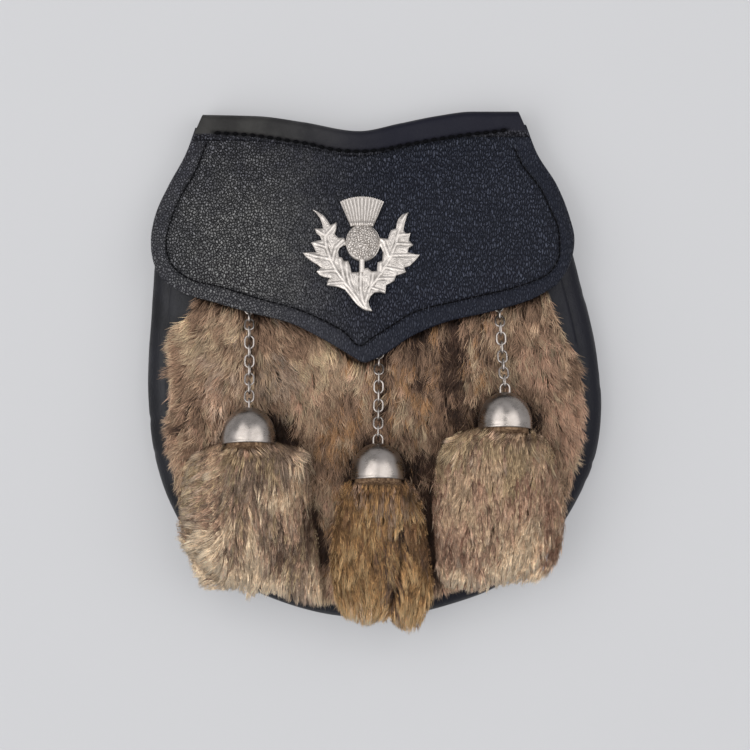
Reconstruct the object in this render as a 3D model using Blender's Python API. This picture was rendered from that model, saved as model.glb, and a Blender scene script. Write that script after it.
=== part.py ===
"""A fur-fronted sporran pouch, lying on its back.

A hollow leather pouch (back panel, gusset, front panel) under a folded top strip and a pointed
flap, with a fur front, a cast thistle badge and three fur tassels in metal domes on chains.

Frame: +X to the viewer's right, +Y to the pouch's top edge, +Z out of its front. The tables are
in millimetres. "across" is measured from the axis to the right, "down" from the top edge.
"""

import math

import bpy
import numpy as np
from mathutils import Matrix, Vector

MM = 0.001
GAP = 0.3
SEAT_GAP = 0.5  # between faceted soft faces that lie on each other
TOP_Y = 113.5  # the top edge, up from the origin

# Leather and seams
PANEL_THICK = 2.0
GUSSET_THICK = 1.5
FRONT_THICK = 1.6
FLAP_THICK = 2.2
STRIP_THICK = 2.0
BACK_INSET = 3.0  # the back panel's edge, in from the pouch's outline
RIM_INSET = 8.0  # the front panel's edge, in from the outline
GUSSET_LAP = 2.0  # how far the gusset runs under the front panel
GUSSET_FOOT = 4.6  # the gusset's lower edge, in from the outline
GUSSET_TOP = 8.0  # where the gusset's ends stop inside the top strip
FLAP_TUCK = 0.8  # how much narrower the gusset is where the flap covers it

# The folded strip along the top edge
STRIP_DEPTH = 16.8
STRIP_HEIGHT = 11.5
STRIP_FOLD = 4.5
STRIP_SLANT = 0.43

# The belt strap's two slots in the back panel
SLOT_ACROSS = 44.0
SLOT_DOWN = 50.0
SLOT_WIDE = 6.0
SLOT_TALL = 34.0

# Fur: the hair's packed depth, pressed under the flap and full below it
MOUTH_DOWN = 14.0
FUR_TOP_DOWN = 34.0
FUR_PRESSED = 0.8
FUR_FULL = 5.2
FUR_EDGE = 1.6
FUR_ROUND = 8.0
PILLOW = 60.0
DENT_DEPTH = 2.4
OVERHANG_FALL = 0.45  # how far a tassel past the rim falls, against leather

# The press stud hidden under the flap's tip
STUD_ACROSS = -8.0
STUD_DOWN = 91.0
STUD_RADIUS = 5.5

# Chain links, their staples and the domes
WIRE = 0.9
LINK_LONG = 6.4
LINK_WIDE = 4.8
LINK_PITCH = 4.2
CHAIN_LIFT = 2.8  # a link's centre above the fur that it lies on
CHAIN_RISE = 17.0  # the stretch over which a chain climbs to its dome's eye
STAPLE_WIDE = 5.6
STAPLE_PLATE = 0.6
DOME_RADIUS = 11.8
DOME_TALL = 16.5
DOME_SKIRT = 3.0
DOME_THICK = 0.9
DOME_TILT = math.radians(8)
EYE_RADIUS = 2.0
NECK_PLAY = 0.8  # round the fur's neck inside its dome
NECK_DEPTHS = (11.5, 9.0, 5.0, -0.8)
TASSEL_EDGE = 1.2  # a tassel's thickness along its sides

BADGE_ACROSS = -5.7
BADGE_DOWN = 63.4
BADGE_THICK = 1.8

# The pouch's outline: how far it reaches to each side of the axis
OUTLINE = (
    # down, left, right
    (2.0, 76.0, 63.4),
    (12.0, 80.3, 67.5),
    (24.0, 86.2, 73.7),
    (40.0, 94.2, 82.6),
    (54.0, 97.6, 86.6),
    (70.0, 97.9, 89.6),
    (88.0, 99.0, 94.2),
    (110.0, 100.3, 98.6),
    (132.0, 100.2, 100.3),
    (154.0, 97.2, 97.2),
    (174.0, 90.4, 88.4),
    (192.0, 79.6, 75.7),
    (208.0, 61.0, 58.1),
    (219.0, 36.0, 31.0),
)
OUTLINE_BOTTOM = (-3.0, 224.4)

# The top edge sags between its corners
TOP_EDGE = (
    # across, down
    (-76.0, 1.4),
    (-52.0, 2.0),
    (-32.0, 4.6),
    (-7.0, 8.6),
    (11.0, 5.2),
    (27.0, 2.0),
    (43.0, 0.0),
    (64.0, 0.0),
)

# The front's height at its rim, its crown above that, the flap's rise over the front panel, and
# how fast a layer falls beyond the rim
DEPTH = (
    # down, rim, crown, rise, droop
    (0.0, 11.1, 0.0, 0.7, 0.00),
    (13.0, 11.1, 0.0, 0.7, 0.00),
    (20.0, 12.3, 0.4, 1.1, 0.02),
    (30.0, 13.9, 1.6, 2.4, 0.05),
    (50.0, 16.0, 3.6, 4.8, 0.07),
    (78.0, 18.3, 5.4, 7.9, 0.08),
    (110.0, 19.8, 6.8, 8.0, 0.08),
    (150.0, 20.8, 7.5, 8.0, 0.08),
    (190.0, 20.8, 7.5, 8.0, 0.08),
    (224.0, 19.0, 7.0, 8.0, 0.08),
)

# The flap's sides, from the strip down to the round corners
FLAP_LEFT = (
    # across, down
    (-79.4, 7.2),
    (-83.5, 18.5),
    (-91.1, 32.6),
    (-97.2, 46.6),
    (-98.9, 57.0),
    (-97.8, 66.0),
    (-94.8, 72.6),
    (-90.2, 77.2),
)
FLAP_RIGHT = (
    # across, down
    (66.2, 6.0),
    (70.4, 18.5),
    (79.2, 32.6),
    (85.9, 46.6),
    (88.0, 56.0),
    (86.6, 65.0),
    (83.6, 71.8),
    (79.4, 77.2),
)
# The flap's lower edge, whose two halves meet in a point
FLAP_LOWER_LEFT = (
    # across, down
    (-90.2, 77.2),
    (-83.6, 80.9),
    (-70.0, 84.9),
    (-56.3, 89.0),
    (-36.0, 94.4),
    (-22.4, 101.2),
    (-4.8, 111.8),
)
FLAP_LOWER_RIGHT = (
    # across, down
    (-4.8, 111.8),
    (4.6, 107.4),
    (15.0, 100.3),
    (29.0, 94.2),
    (52.8, 88.4),
    (70.4, 82.6),
    (79.4, 77.2),
)

# The badge's outlines, round its own centre: across and up
WREATH = (
    # across, up
    (-21.1, 19.4),
    (-15.4, 15.6),
    (-11.4, 14.1),
    (-11.4, 7.4),
    (-4.8, 7.8),
    (-9.4, 3.1),
    (-11.0, -0.6),
    (-7.6, -3.7),
    (-4.4, -7.8),
    (-1.6, -8.0),
    (0.9, -6.2),
    (5.7, -7.9),
    (6.4, -3.6),
    (9.6, -2.3),
    (9.2, 3.3),
    (5.4, 7.8),
    (12.2, 6.4),
    (12.8, 10.5),
    (20.5, 18.4),
    (18.4, 9.2),
    (21.2, 8.6),
    (21.2, 5.4),
    (22.4, 3.4),
    (20.8, -0.4),
    (25.4, -0.6),
    (19.0, -6.2),
    (19.3, -7.9),
    (14.6, -11.0),
    (14.2, -13.2),
    (10.2, -15.0),
    (10.0, -17.6),
    (6.6, -15.9),
    (3.6, -18.0),
    (2.3, -20.6),
    (4.4, -25.0),
    (-0.6, -24.6),
    (-4.4, -21.8),
    (-8.4, -15.0),
    (-15.4, -13.6),
    (-15.4, -10.2),
    (-19.8, -8.4),
    (-18.1, -5.8),
    (-25.9, 0.4),
    (-21.2, 1.4),
    (-22.8, 5.2),
    (-19.4, 5.8),
    (-20.7, 11.4),
)
BULB_UP = 5.7
BULB_WIDE = 8.0
BULB_TALL = 7.8
BULB_RELIEF = 3.6
CROWN_FOOT_UP = 12.0
CROWN_FOOT_HALF = 4.6
CROWN_TOP_UP = 24.2
CROWN_TOP_HALF = 9.6
CROWN_FLUTES = 8
CROWN_ARCH = 1.3
STEM_HALF = 1.2

# Each pendant: its dome's place, where its chain comes out, and its tassel's fur, row by row
PENDANTS = {
    "left": {
        "dome": (-54.6, 147.0),
        "chain": (-55.0, 81.5),
        "fur": (
            # down, centre, half_wide, tall
            (150.6, -53.0, 21.0, 18.5),
            (158.0, -52.8, 27.0, 17.0),
            (172.0, -53.2, 29.5, 14.5),
            (188.0, -53.4, 29.5, 12.5),
            (202.0, -52.2, 26.5, 10.0),
            (211.0, -49.5, 21.0, 7.0),
            (214.0, -48.0, 12.0, 4.0),
        ),
    },
    "middle": {
        "dome": (1.3, 162.4),
        "chain": (1.8, 101.0),
        "fur": (
            # down, centre, half_wide, tall
            (166.0, 1.8, 15.5, 18.5),
            (174.0, 1.8, 18.5, 17.0),
            (190.0, 1.8, 20.0, 14.0),
            (206.0, 2.3, 20.8, 11.5),
            (219.0, 3.0, 18.0, 8.5),
            (227.0, 4.5, 10.0, 4.5),
        ),
    },
    "right": {
        "dome": (56.4, 140.4),
        "chain": (53.7, 80.5),
        "fur": (
            # down, centre, half_wide, tall
            (144.0, 56.0, 19.5, 18.5),
            (151.0, 55.2, 25.0, 17.0),
            (166.0, 54.4, 26.8, 14.5),
            (184.0, 54.8, 27.6, 12.5),
            (198.0, 54.4, 25.5, 10.0),
            (207.0, 52.0, 19.5, 7.0),
            (210.5, 51.0, 11.0, 4.0),
        ),
    },
}


# ---------------------------------------------------------------- curves and heights


def along(rows, place, column=1):
    """A table's column at the given places in its first column, as a smooth monotone curve."""
    table = np.array(rows, dtype=float)
    x, y = table[:, 0], table[:, column]
    steps = np.diff(y) / np.diff(x)
    slopes = np.zeros(len(x))
    slopes[0], slopes[-1] = steps[0], steps[-1]
    same = steps[:-1] * steps[1:] > 0
    slopes[1:-1][same] = 2 * steps[:-1][same] * steps[1:][same] / (steps[:-1] + steps[1:])[same]
    place = np.clip(np.asarray(place, dtype=float), x[0], x[-1])
    cell = np.clip(np.searchsorted(x, place, side="right") - 1, 0, len(x) - 2)
    wide = x[cell + 1] - x[cell]
    t = (place - x[cell]) / wide
    return (
        y[cell] * (2 * t**3 - 3 * t**2 + 1)
        + wide * slopes[cell] * (t**3 - 2 * t**2 + t)
        + y[cell + 1] * (3 * t**2 - 2 * t**3)
        + wide * slopes[cell + 1] * (t**3 - t**2)
    )


def smooth_curve(points, count, dense=16):
    """Evenly spaced points along a smooth curve through the given ones."""
    points = np.array(points, dtype=float)
    runs = np.linalg.norm(np.diff(points, axis=0), axis=1)
    place = np.concatenate([[0.0], np.cumsum(runs)])
    slopes = np.gradient(points, place, axis=0)
    fine = np.linspace(0, place[-1], dense * len(points))
    cell = np.clip(np.searchsorted(place, fine, side="right") - 1, 0, len(place) - 2)
    wide = (place[cell + 1] - place[cell])[:, None]
    t = ((fine - place[cell]) / wide[:, 0])[:, None]
    curve = (
        points[cell] * (2 * t**3 - 3 * t**2 + 1)
        + wide * slopes[cell] * (t**3 - 2 * t**2 + t)
        + points[cell + 1] * (3 * t**2 - 2 * t**3)
        + wide * slopes[cell + 1] * (t**3 - t**2)
    )
    length = np.concatenate([[0.0], np.cumsum(np.linalg.norm(np.diff(curve, axis=0), axis=1))])
    even = np.linspace(0, length[-1], count)
    return np.stack([np.interp(even, length, curve[:, axis]) for axis in range(curve.shape[1])], 1)


def smoothstep(low, high, value):
    t = np.clip((np.asarray(value, dtype=float) - low) / (high - low), 0, 1)
    return t * t * (3 - 2 * t)


def outline(count, start=2.0):
    """The pouch's edge from its left top corner round the bottom to the right one, with the
    direction that points into the pouch at each place."""
    left = [(-row[1], row[0]) for row in OUTLINE]
    right = [(row[2], row[0]) for row in reversed(OUTLINE)]
    fine = smooth_curve([*left, OUTLINE_BOTTOM, *right], 900)
    fine = fine[fine[:, 1] >= start]
    length = np.concatenate([[0.0], np.cumsum(np.linalg.norm(np.diff(fine, axis=0), axis=1))])
    even = np.linspace(0, length[-1], count)
    edge = np.stack([np.interp(even, length, fine[:, axis]) for axis in (0, 1)], 1)
    ahead = np.gradient(edge, axis=0)
    ahead /= np.linalg.norm(ahead, axis=1)[:, None]
    return edge, np.stack([ahead[:, 1], -ahead[:, 0]], 1)


EDGE, EDGE_INWARD = outline(400)


def inside(across, down):
    """How far a place lies in from the front panel's rim, negative beyond it."""
    across, down = np.broadcast_arrays(np.asarray(across, float), np.asarray(down, float))
    place = np.stack([across.ravel(), down.ravel()], 1)
    away = place[:, None, :] - EDGE[None, :, :]
    nearest = np.argmin((away**2).sum(2), axis=1)
    chosen = away[np.arange(len(place)), nearest]
    depth = np.sign((chosen * EDGE_INWARD[nearest]).sum(1)) * np.linalg.norm(chosen, axis=1)
    return (depth - RIM_INSET).reshape(across.shape)


def drop(across, down):
    """The distance down with the top edge's sag taken out, which fades away lower down."""
    return down - along(TOP_EDGE, across) * (1 - smoothstep(14, 70, down))


def front_height(across, down, overhang=False):
    """The front panel's outer face, or the level that what hangs over its rim keeps."""
    level = drop(across, down)
    reach = np.clip(inside(across, down), -RIM_INSET - 1, PILLOW)
    crown = along(DEPTH, level, 2) * (1 - (1 - reach / PILLOW) ** 2)
    fall = along(DEPTH, level, 4) * np.minimum(reach, 0) ** 2 * (OVERHANG_FALL if overhang else 1)
    return along(DEPTH, level, 1) + crown - fall


def flap_edge(across):
    """How far down the flap's lower edge is."""
    rows = [*FLAP_LOWER_LEFT[:-1], *FLAP_LOWER_RIGHT]
    return along(rows, across)


def fur_height(across, down, overhang=False):
    """The top of the front's packed fur: pressed under the flap, dented under the domes."""
    full = smoothstep(0.5, 12, down - flap_edge(across))
    deep = FUR_PRESSED + (FUR_FULL - FUR_PRESSED) * full
    if not overhang:
        rounding = smoothstep(0, FUR_ROUND, inside(across, down))
        deep = np.minimum(deep, FUR_EDGE + (deep - FUR_EDGE) * rounding)
    for pendant in PENDANTS.values():
        x, rim = pendant["dome"]
        deep = deep - DENT_DEPTH * np.exp(-(((across - x) / 9) ** 2) - ((down - rim + 6) / 11) ** 2)
    return front_height(across, down, overhang) + GAP + deep


def flap_height(across, down):
    """The flap's outer face."""
    rise = along(DEPTH, drop(across, down), 3)
    return front_height(across, down) + rise + FLAP_THICK


def place(across, down, height):
    """Points of the tables' frame as metres in the part's frame."""
    across, down, height = np.broadcast_arrays(across, down, height)
    return np.stack([across, TOP_Y - down, height], -1) * MM


# ---------------------------------------------------------------- objects


def material(name, colour, roughness, metallic=0.0):
    made = bpy.data.materials.new(name)
    made.use_nodes = True
    shader = made.node_tree.nodes["Principled BSDF"]
    shader.inputs["Base Color"].default_value = (*colour, 1)
    shader.inputs["Roughness"].default_value = roughness
    shader.inputs["Metallic"].default_value = metallic
    made.diffuse_color = (*colour, 1)
    return made


def add_object(name, mesh, look):
    made = bpy.data.objects.new(name, mesh)
    bpy.context.collection.objects.link(made)
    if look and not mesh.materials:
        mesh.materials.append(look)
    return made


def mesh_of(name, vertices, faces):
    mesh = bpy.data.meshes.new(name)
    mesh.from_pydata([tuple(map(float, v)) for v in vertices], [], faces)
    mesh.validate()
    mesh.shade_smooth()
    mesh.set_sharp_from_angle(angle=math.radians(40))
    return mesh


def cell_faces(rows, columns, offset=0, flipped=False):
    faces = []
    for i in range(rows - 1):
        for j in range(columns - 1):
            a = offset + i * columns + j
            quad = (a, a + 1, a + columns + 1, a + columns)
            faces.append(quad[::-1] if flipped else quad)
    return faces


def sheet(name, grid, thick, look):
    """A leather wall behind a grid of points, made solid by a Solidify modifier."""
    rows, columns = grid.shape[:2]
    made = add_object(name, mesh_of(name, grid.reshape(-1, 3), cell_faces(rows, columns)), look)
    solid = made.modifiers.new("Thickness", "SOLIDIFY")
    solid.thickness = thick * MM
    solid.offset = -1
    return made


def closed_pad(name, top, bottom, look):
    """A soft solid between two grids of the same shape, joined along their borders."""
    rows, columns = top.shape[:2]
    count = rows * columns
    faces = cell_faces(rows, columns) + cell_faces(rows, columns, count, flipped=True)
    border = [j for j in range(columns)]
    border += [i * columns + columns - 1 for i in range(1, rows)]
    border += [(rows - 1) * columns + j for j in range(columns - 2, -1, -1)]
    border += [i * columns for i in range(rows - 2, 0, -1)]
    for a, b in zip(border, border[1:] + border[:1]):
        faces.append((b, a, a + count, b + count))
    points = np.concatenate([top.reshape(-1, 3), bottom.reshape(-1, 3)])
    return add_object(name, mesh_of(name, points, faces), look)


def loft(rings, looped=False):
    """Vertices and faces through rings of equally many points, capped or joined end to end."""
    rings = np.array(rings)
    count, sides = rings.shape[:2]
    faces = []
    for i in range(count if looped else count - 1):
        here, there = i * sides, (i + 1) % count * sides
        for j in range(sides):
            k = (j + 1) % sides
            faces.append((here + j, here + k, there + k, there + j))
    if not looped:
        faces.append(tuple(range(sides))[::-1])
        faces.append(tuple((count - 1) * sides + j for j in range(sides)))
    return rings.reshape(-1, 3), faces


def circle(centre, side, up, radius, sides):
    """A ring of points: counter-clockwise seen from the tip of side x up."""
    turn = np.linspace(0, 2 * math.pi, sides, endpoint=False)[:, None]
    return centre + radius * (np.cos(turn) * side + np.sin(turn) * up)


def prism(points, low, high):
    """A plate's vertices and faces: an outline, counter-clockwise, between two heights."""
    count = len(points)
    vertices = [(x, y, low) for x, y in points] + [(x, y, high) for x, y in points]
    faces = [tuple(range(count))[::-1], tuple(range(count, 2 * count))]
    for j in range(count):
        k = (j + 1) % count
        faces.append((j, k, k + count, j + count))
    return np.array(vertices), faces


def helper(name, mesh):
    """A cutter or an addition that a Boolean uses and that is no part itself."""
    made = add_object(name, mesh, None)
    made.hide_render = True
    made.display_type = "WIRE"
    return made


def boolean(owner, other, operation):
    made = owner.modifiers.new(other.name, "BOOLEAN")
    made.operation = operation
    made.solver = "EXACT"
    made.object = other


def frame_at(across, down, height, forward, up):
    """A matrix whose local Y runs forward and whose local Z leans to up."""
    y = Vector(forward).normalized()
    x = y.cross(Vector(up)).normalized()
    z = x.cross(y)
    matrix = Matrix((x, y, z)).transposed().to_4x4()
    matrix.translation = Vector(place(across, down, height).tolist())
    return matrix


def laid_at(across, down, height, up):
    """A matrix whose local Z is square to the surface and whose local Y runs up the pouch."""
    return frame_at(across, down, height, up.cross(Vector((1, 0, 0))), up)


def surface_up(height_of, across, down):
    """The direction square to a height function's surface."""
    step = 2.0
    slope_x = (height_of(across + step, down) - height_of(across - step, down)) / (2 * step)
    slope_y = (height_of(across, down - step) - height_of(across, down + step)) / (2 * step)
    return Vector((-float(slope_x), -float(slope_y), 1.0)).normalized()


# ---------------------------------------------------------------- the pouch


def fan_grid(columns, rows, inset, start, narrow=0.72):
    """Places over the front, from a line across the pouch out to its edge."""
    edge, inward = outline(columns, start)
    rim = edge + inward * inset
    rim[:, 1] = np.maximum(rim[:, 1], start)
    rim[0, 1] = rim[-1, 1] = start
    across = np.linspace(rim[0, 0] * narrow, rim[-1, 0] * narrow, columns)
    share = np.linspace(0, 1, rows)[:, None]
    x = across[None, :] * (1 - share) + rim[None, :, 0] * share
    sag = along(TOP_EDGE, across)[None, :] * (1 - share) ** 2
    y = start * (1 - share) + rim[None, :, 1] * share + sag
    return x, y


def strip_places(reach):
    """Places along the top strip, whose slanted ends are wider lower down."""
    return np.linspace(-76.0 - STRIP_SLANT * reach, 63.2 + STRIP_SLANT * reach, 17)


def build_back_panel(look):
    edge, inward = outline(56, 17.0)
    rim = edge + inward * BACK_INSET
    across = strip_places(STRIP_HEIGHT)[::-1]
    across = across[(across < rim[-1, 0]) & (across > rim[0, 0])]
    top = along(TOP_EDGE, across) + STRIP_HEIGHT + GAP
    points = [(x, TOP_Y - y) for x, y in rim] + [(x, TOP_Y - y) for x, y in zip(across, top)]
    vertices, faces = prism(points, 0.0, PANEL_THICK)
    panel = add_object("back_panel", mesh_of("back_panel", vertices * MM, faces), look)
    for side, across in (("left", -SLOT_ACROSS), ("right", SLOT_ACROSS)):
        half, straight = SLOT_WIDE / 2, SLOT_TALL / 2 - SLOT_WIDE / 2
        turn = np.linspace(0, math.pi, 7)
        upper = [(half * math.cos(a), straight + half * math.sin(a)) for a in turn]
        ring = upper + [(-x, -y) for x, y in upper]
        ring = [(across + x, TOP_Y - SLOT_DOWN + y) for x, y in ring]
        vertices, faces = prism(ring, -1.0, PANEL_THICK + 1.0)
        cutter = helper(f"slot_cutter_{side}", mesh_of("slot_cutter", vertices * MM, faces))
        boolean(panel, cutter, "DIFFERENCE")


def build_gusset(look):
    """A band that bulges out from the back panel to the front panel's rim."""
    edge, inward = outline(42, GUSSET_TOP)
    columns = []
    for (x, y), (nx, ny) in zip(edge, inward):
        rim = float(along(DEPTH, y, 1))
        tuck = FLAP_TUCK * (1 - float(smoothstep(58, 72, y)))
        high, low = rim - FRONT_THICK - GAP, PANEL_THICK + GAP
        middle = low + (high - low) * 0.42
        section = []
        for turn in np.linspace(math.pi / 2, 0, 5):
            reach = (RIM_INSET + GUSSET_LAP - tuck) * (1 - math.cos(turn)) + tuck
            section.append((reach, middle + (high - middle) * math.sin(turn)))
        for turn in np.linspace(0, -math.pi / 2, 5)[1:]:
            reach = (GUSSET_FOOT - tuck) * (1 - math.cos(turn)) + tuck
            section.append((reach, middle + (middle - low) * math.sin(turn)))
        columns.append([place(x + nx * reach, y + ny * reach, z) for reach, z in section])
    sheet("gusset", np.array(columns), GUSSET_THICK, look)


def build_front_panel(look):
    x, y = fan_grid(27, 8, RIM_INSET, MOUTH_DOWN)
    sheet("front_panel", place(x, y, front_height(x, y))[:, ::-1], FRONT_THICK, look)


def build_top_strip(look):
    """A strip folded over the top edge, down to the back panel and over the flap's top."""
    half = STRIP_DEPTH / 2
    turn = np.linspace(-math.pi / 2, math.pi / 2, 9)
    fold = [(STRIP_FOLD * (1 - math.cos(a)), half + half * math.sin(a)) for a in turn]
    section = [(STRIP_HEIGHT, 0.0), *fold, (STRIP_HEIGHT, STRIP_DEPTH)]
    rows = []
    for reach, height in section:
        across = strip_places(reach)
        rows.append(place(across, along(TOP_EDGE, across) + reach, height))
    sheet("top_strip", np.array(rows)[::-1], STRIP_THICK, look)


def flap_grid(columns, rows):
    """Places over the flap, blended between its four edges, with a column on its point."""
    half = columns // 2 + 1
    lower = np.concatenate(
        [smooth_curve(FLAP_LOWER_LEFT, half)[:-1], smooth_curve(FLAP_LOWER_RIGHT, half)]
    )
    left, right = smooth_curve(FLAP_LEFT, rows), smooth_curve(FLAP_RIGHT, rows)
    share = (lower[:, 0] - lower[0, 0]) / (lower[-1, 0] - lower[0, 0])
    across = left[0, 0] + (right[0, 0] - left[0, 0]) * share
    upper = np.stack([across, along(TOP_EDGE, across) + 6.0], 1)
    upper[0], upper[-1] = left[0], right[0]
    u, v = share[None, :, None], np.linspace(0, 1, rows)[:, None, None]
    sides = left[:, None] * (1 - u) + right[:, None] * u
    ends = upper[None] * (1 - v) + lower[None] * v
    corners = (1 - v) * ((1 - u) * left[0] + u * right[0]) + v * ((1 - u) * left[-1] + u * right[-1])
    return sides + ends - corners


def build_flap(look):
    grid = flap_grid(25, 13)
    x, y = grid[..., 0], grid[..., 1]
    sheet("flap", place(x, y, flap_height(x, y))[:, ::-1], FLAP_THICK, look)


def build_stud(look):
    """The press stud's two halves, closed: one plain piece between front panel and flap."""
    low = float(front_height(STUD_ACROSS, STUD_DOWN)) + GAP
    high = float(flap_height(STUD_ACROSS, STUD_DOWN)) - FLAP_THICK - 2 * GAP
    up = surface_up(front_height, STUD_ACROSS, STUD_DOWN)
    centre, side, ahead = np.zeros(3), np.array([1.0, 0, 0]), np.array([0, 1.0, 0])
    rings = [circle(centre + (0, 0, z), side, ahead, STUD_RADIUS, 20) for z in (0, high - low)]
    vertices, faces = loft(rings)
    stud = add_object("press_stud", mesh_of("press_stud", vertices * MM, faces), look)
    stud.matrix_world = laid_at(STUD_ACROSS, STUD_DOWN, low, up)
    rings = [circle(centre + (0, 0, z), side, ahead, STUD_RADIUS + 0.6, 20) for z in (-3, 5)]
    vertices, faces = loft(rings)
    cutter = helper("stud_cutter", mesh_of("stud_cutter", vertices * MM, faces))
    cutter.matrix_world = stud.matrix_world
    return cutter


def build_front_fur(look, stud_cutter):
    x, y = fan_grid(33, 14, RIM_INSET + 0.6, FUR_TOP_DOWN)
    top = place(x, y, fur_height(x, y))[:, ::-1]
    bottom = place(x, y, front_height(x, y) + GAP)[:, ::-1]
    fur = closed_pad("front_fur", top, bottom, look)
    boolean(fur, stud_cutter, "DIFFERENCE")


# ---------------------------------------------------------------- the badge


def build_badge(look):
    """Leaves, stem, bulb and fluted crown, cast as one piece that lies on the flap."""
    wreath, faces = prism(WREATH, 0.0, BADGE_THICK)
    badge = add_object("thistle_badge", mesh_of("thistle_badge", wreath * MM, faces), look)
    shapes = {"stem": prism([(-STEM_HALF, -9.0), (STEM_HALF, -9.0), (STEM_HALF, 0.0),
                             (-STEM_HALF, 0.0)], 0.1, BADGE_THICK + 0.3)}
    crown = [(CROWN_FOOT_HALF, CROWN_FOOT_UP)]
    for step in range(2 * CROWN_FLUTES + 1):
        share = 1 - step / CROWN_FLUTES
        notch = 0.5 if step % 2 else 0.0
        arch = CROWN_ARCH * (1 - share * share)
        crown.append((CROWN_TOP_HALF * share, CROWN_TOP_UP - CROWN_ARCH + arch - notch))
    crown.append((-CROWN_FOOT_HALF, CROWN_FOOT_UP))
    shapes["crown"] = prism(crown, 0.05, BADGE_THICK + 0.4)
    rings = []
    for turn in np.linspace(0.12, math.pi / 2, 7)[::-1]:
        ring = circle(np.zeros(3), np.array([BULB_WIDE, 0, 0]), np.array([0, BULB_TALL, 0]),
                      math.sin(turn), 20)
        height = 0.15 if turn == math.pi / 2 else BADGE_THICK * 0.6 + BULB_RELIEF * math.cos(turn)
        rings.append(ring + (0, BULB_UP, height))
    shapes["bulb"] = loft(rings)
    for name, (vertices, faces) in shapes.items():
        other = helper(f"badge_{name}", mesh_of(f"badge_{name}", vertices * MM, faces))
        other.parent = badge
        boolean(badge, other, "UNION")
    up = surface_up(flap_height, BADGE_ACROSS, BADGE_DOWN)
    height = float(flap_height(BADGE_ACROSS, BADGE_DOWN)) + GAP
    badge.matrix_world = laid_at(BADGE_ACROSS, BADGE_DOWN, height, up)


# ---------------------------------------------------------------- chains, domes and tassels


def wire_loop(path, sides=5):
    """A closed round wire along a flat loop of points, whose plane is square to Z."""
    path = np.array(path, dtype=float)
    ahead = np.roll(path, -1, 0) - np.roll(path, 1, 0)
    ahead /= np.linalg.norm(ahead, axis=1)[:, None]
    up = np.array([0, 0, 1.0])
    rings = [circle(p, np.cross(a, up), up, WIRE / 2, sides) for p, a in zip(path, ahead)]
    return loft([ring[::-1] for ring in rings], looped=True)


def link_path():
    """An oval link's centre line, long along Y."""
    wide, long = (LINK_WIDE - WIRE) / 2, (LINK_LONG - WIRE) / 2
    turn = np.linspace(0, 2 * math.pi, 12, endpoint=False)
    return [(wide * math.cos(a), wide * math.sin(a) + math.copysign(long - wide, math.sin(a))
             if abs(math.sin(a)) > 0.01 else 0.0, 0.0) for a in turn]


def dome_frame(pendant):
    """The dome's rim centre, seated on the fur, the way to its top, and its section's up."""
    x, down = pendant["dome"]
    ahead = np.array([0.0, math.cos(DOME_TILT), -math.sin(DOME_TILT)])
    up = np.array([0.0, math.sin(DOME_TILT), math.cos(DOME_TILT)])
    cap = DOME_TALL - DOME_SKIRT
    turn, tall = np.meshgrid(np.linspace(-math.pi, 0, 25), np.linspace(0, DOME_TALL, 23))
    rise = np.clip((tall - DOME_SKIRT) / cap, 0, 1)
    radius = DOME_RADIUS * np.sqrt(1 - rise**2)
    across = x + radius * np.cos(turn)
    behind = tall * ahead[1] + radius * np.sin(turn) * up[1]
    above = tall * ahead[2] + radius * np.sin(turn) * up[2]
    height = float(np.max(fur_height(across, down - behind) - above)) + 1.6 * SEAT_GAP
    return np.array([x, TOP_Y - down, height]), ahead, up


def chain_curve(pendant):
    """Places along a chain, from the staple's bar under the flap to the dome's eye."""
    x, down = pendant["chain"]
    rim, ahead, _ = dome_frame(pendant)
    eye = rim + ahead * (DOME_TALL + EYE_RADIUS - 0.2)
    last = TOP_Y - eye[1]
    stops = np.linspace(down, last - 2.5, 12)
    across = x + (eye[0] - x) * (stops - down) / (last - down)
    height = np.maximum(fur_height(across, stops), fur_height(across, stops + 2.0)) + CHAIN_LIFT
    height += (eye[2] - height) * smoothstep(last - CHAIN_RISE, last + 2.0, stops)
    points = np.stack([across, TOP_Y - stops, height], 1)
    return smooth_curve([*points, eye], 400), eye


def chain_places(pendant):
    """Each link's centre and direction, hooked at both ends."""
    curve, eye = chain_curve(pendant)
    length = np.concatenate([[0.0], np.cumsum(np.linalg.norm(np.diff(curve, axis=0), axis=1))])
    first = LINK_LONG / 2 - 1.5 * WIRE - GAP
    last = EYE_RADIUS - WIRE - 2 * GAP + (LINK_LONG - WIRE) / 2
    run = length[-1] - first - last
    count = math.ceil(run / LINK_PITCH) + 1
    stations = first + run * np.arange(count) / (count - 1)
    ahead = np.gradient(curve, length, axis=0)
    centres = [[np.interp(s, length, curve[:, k]) for k in range(3)] for s in stations]
    ways = [[np.interp(s, length, ahead[:, k]) for k in range(3)] for s in stations]
    return np.array(centres), np.array(ways)


def build_chain(side, pendant, look):
    vertices, faces = wire_loop(link_path())
    shared = mesh_of("chain_link", vertices * MM, faces)
    centres, ways = chain_places(pendant)
    for number, (centre, way) in enumerate(zip(centres, ways)):
        up = surface_up(front_height, centre[0], TOP_Y - centre[1])
        flat = frame_at(centre[0], TOP_Y - centre[1], centre[2], way, up)
        turned = Matrix.Rotation(math.pi / 2 if number % 2 == 0 else 0.0, 4, "Y")
        link = add_object(f"chain_{side}_link_{number + 1:02d}", shared, look)
        link.matrix_world = flat @ turned
    return len(centres)


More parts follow.
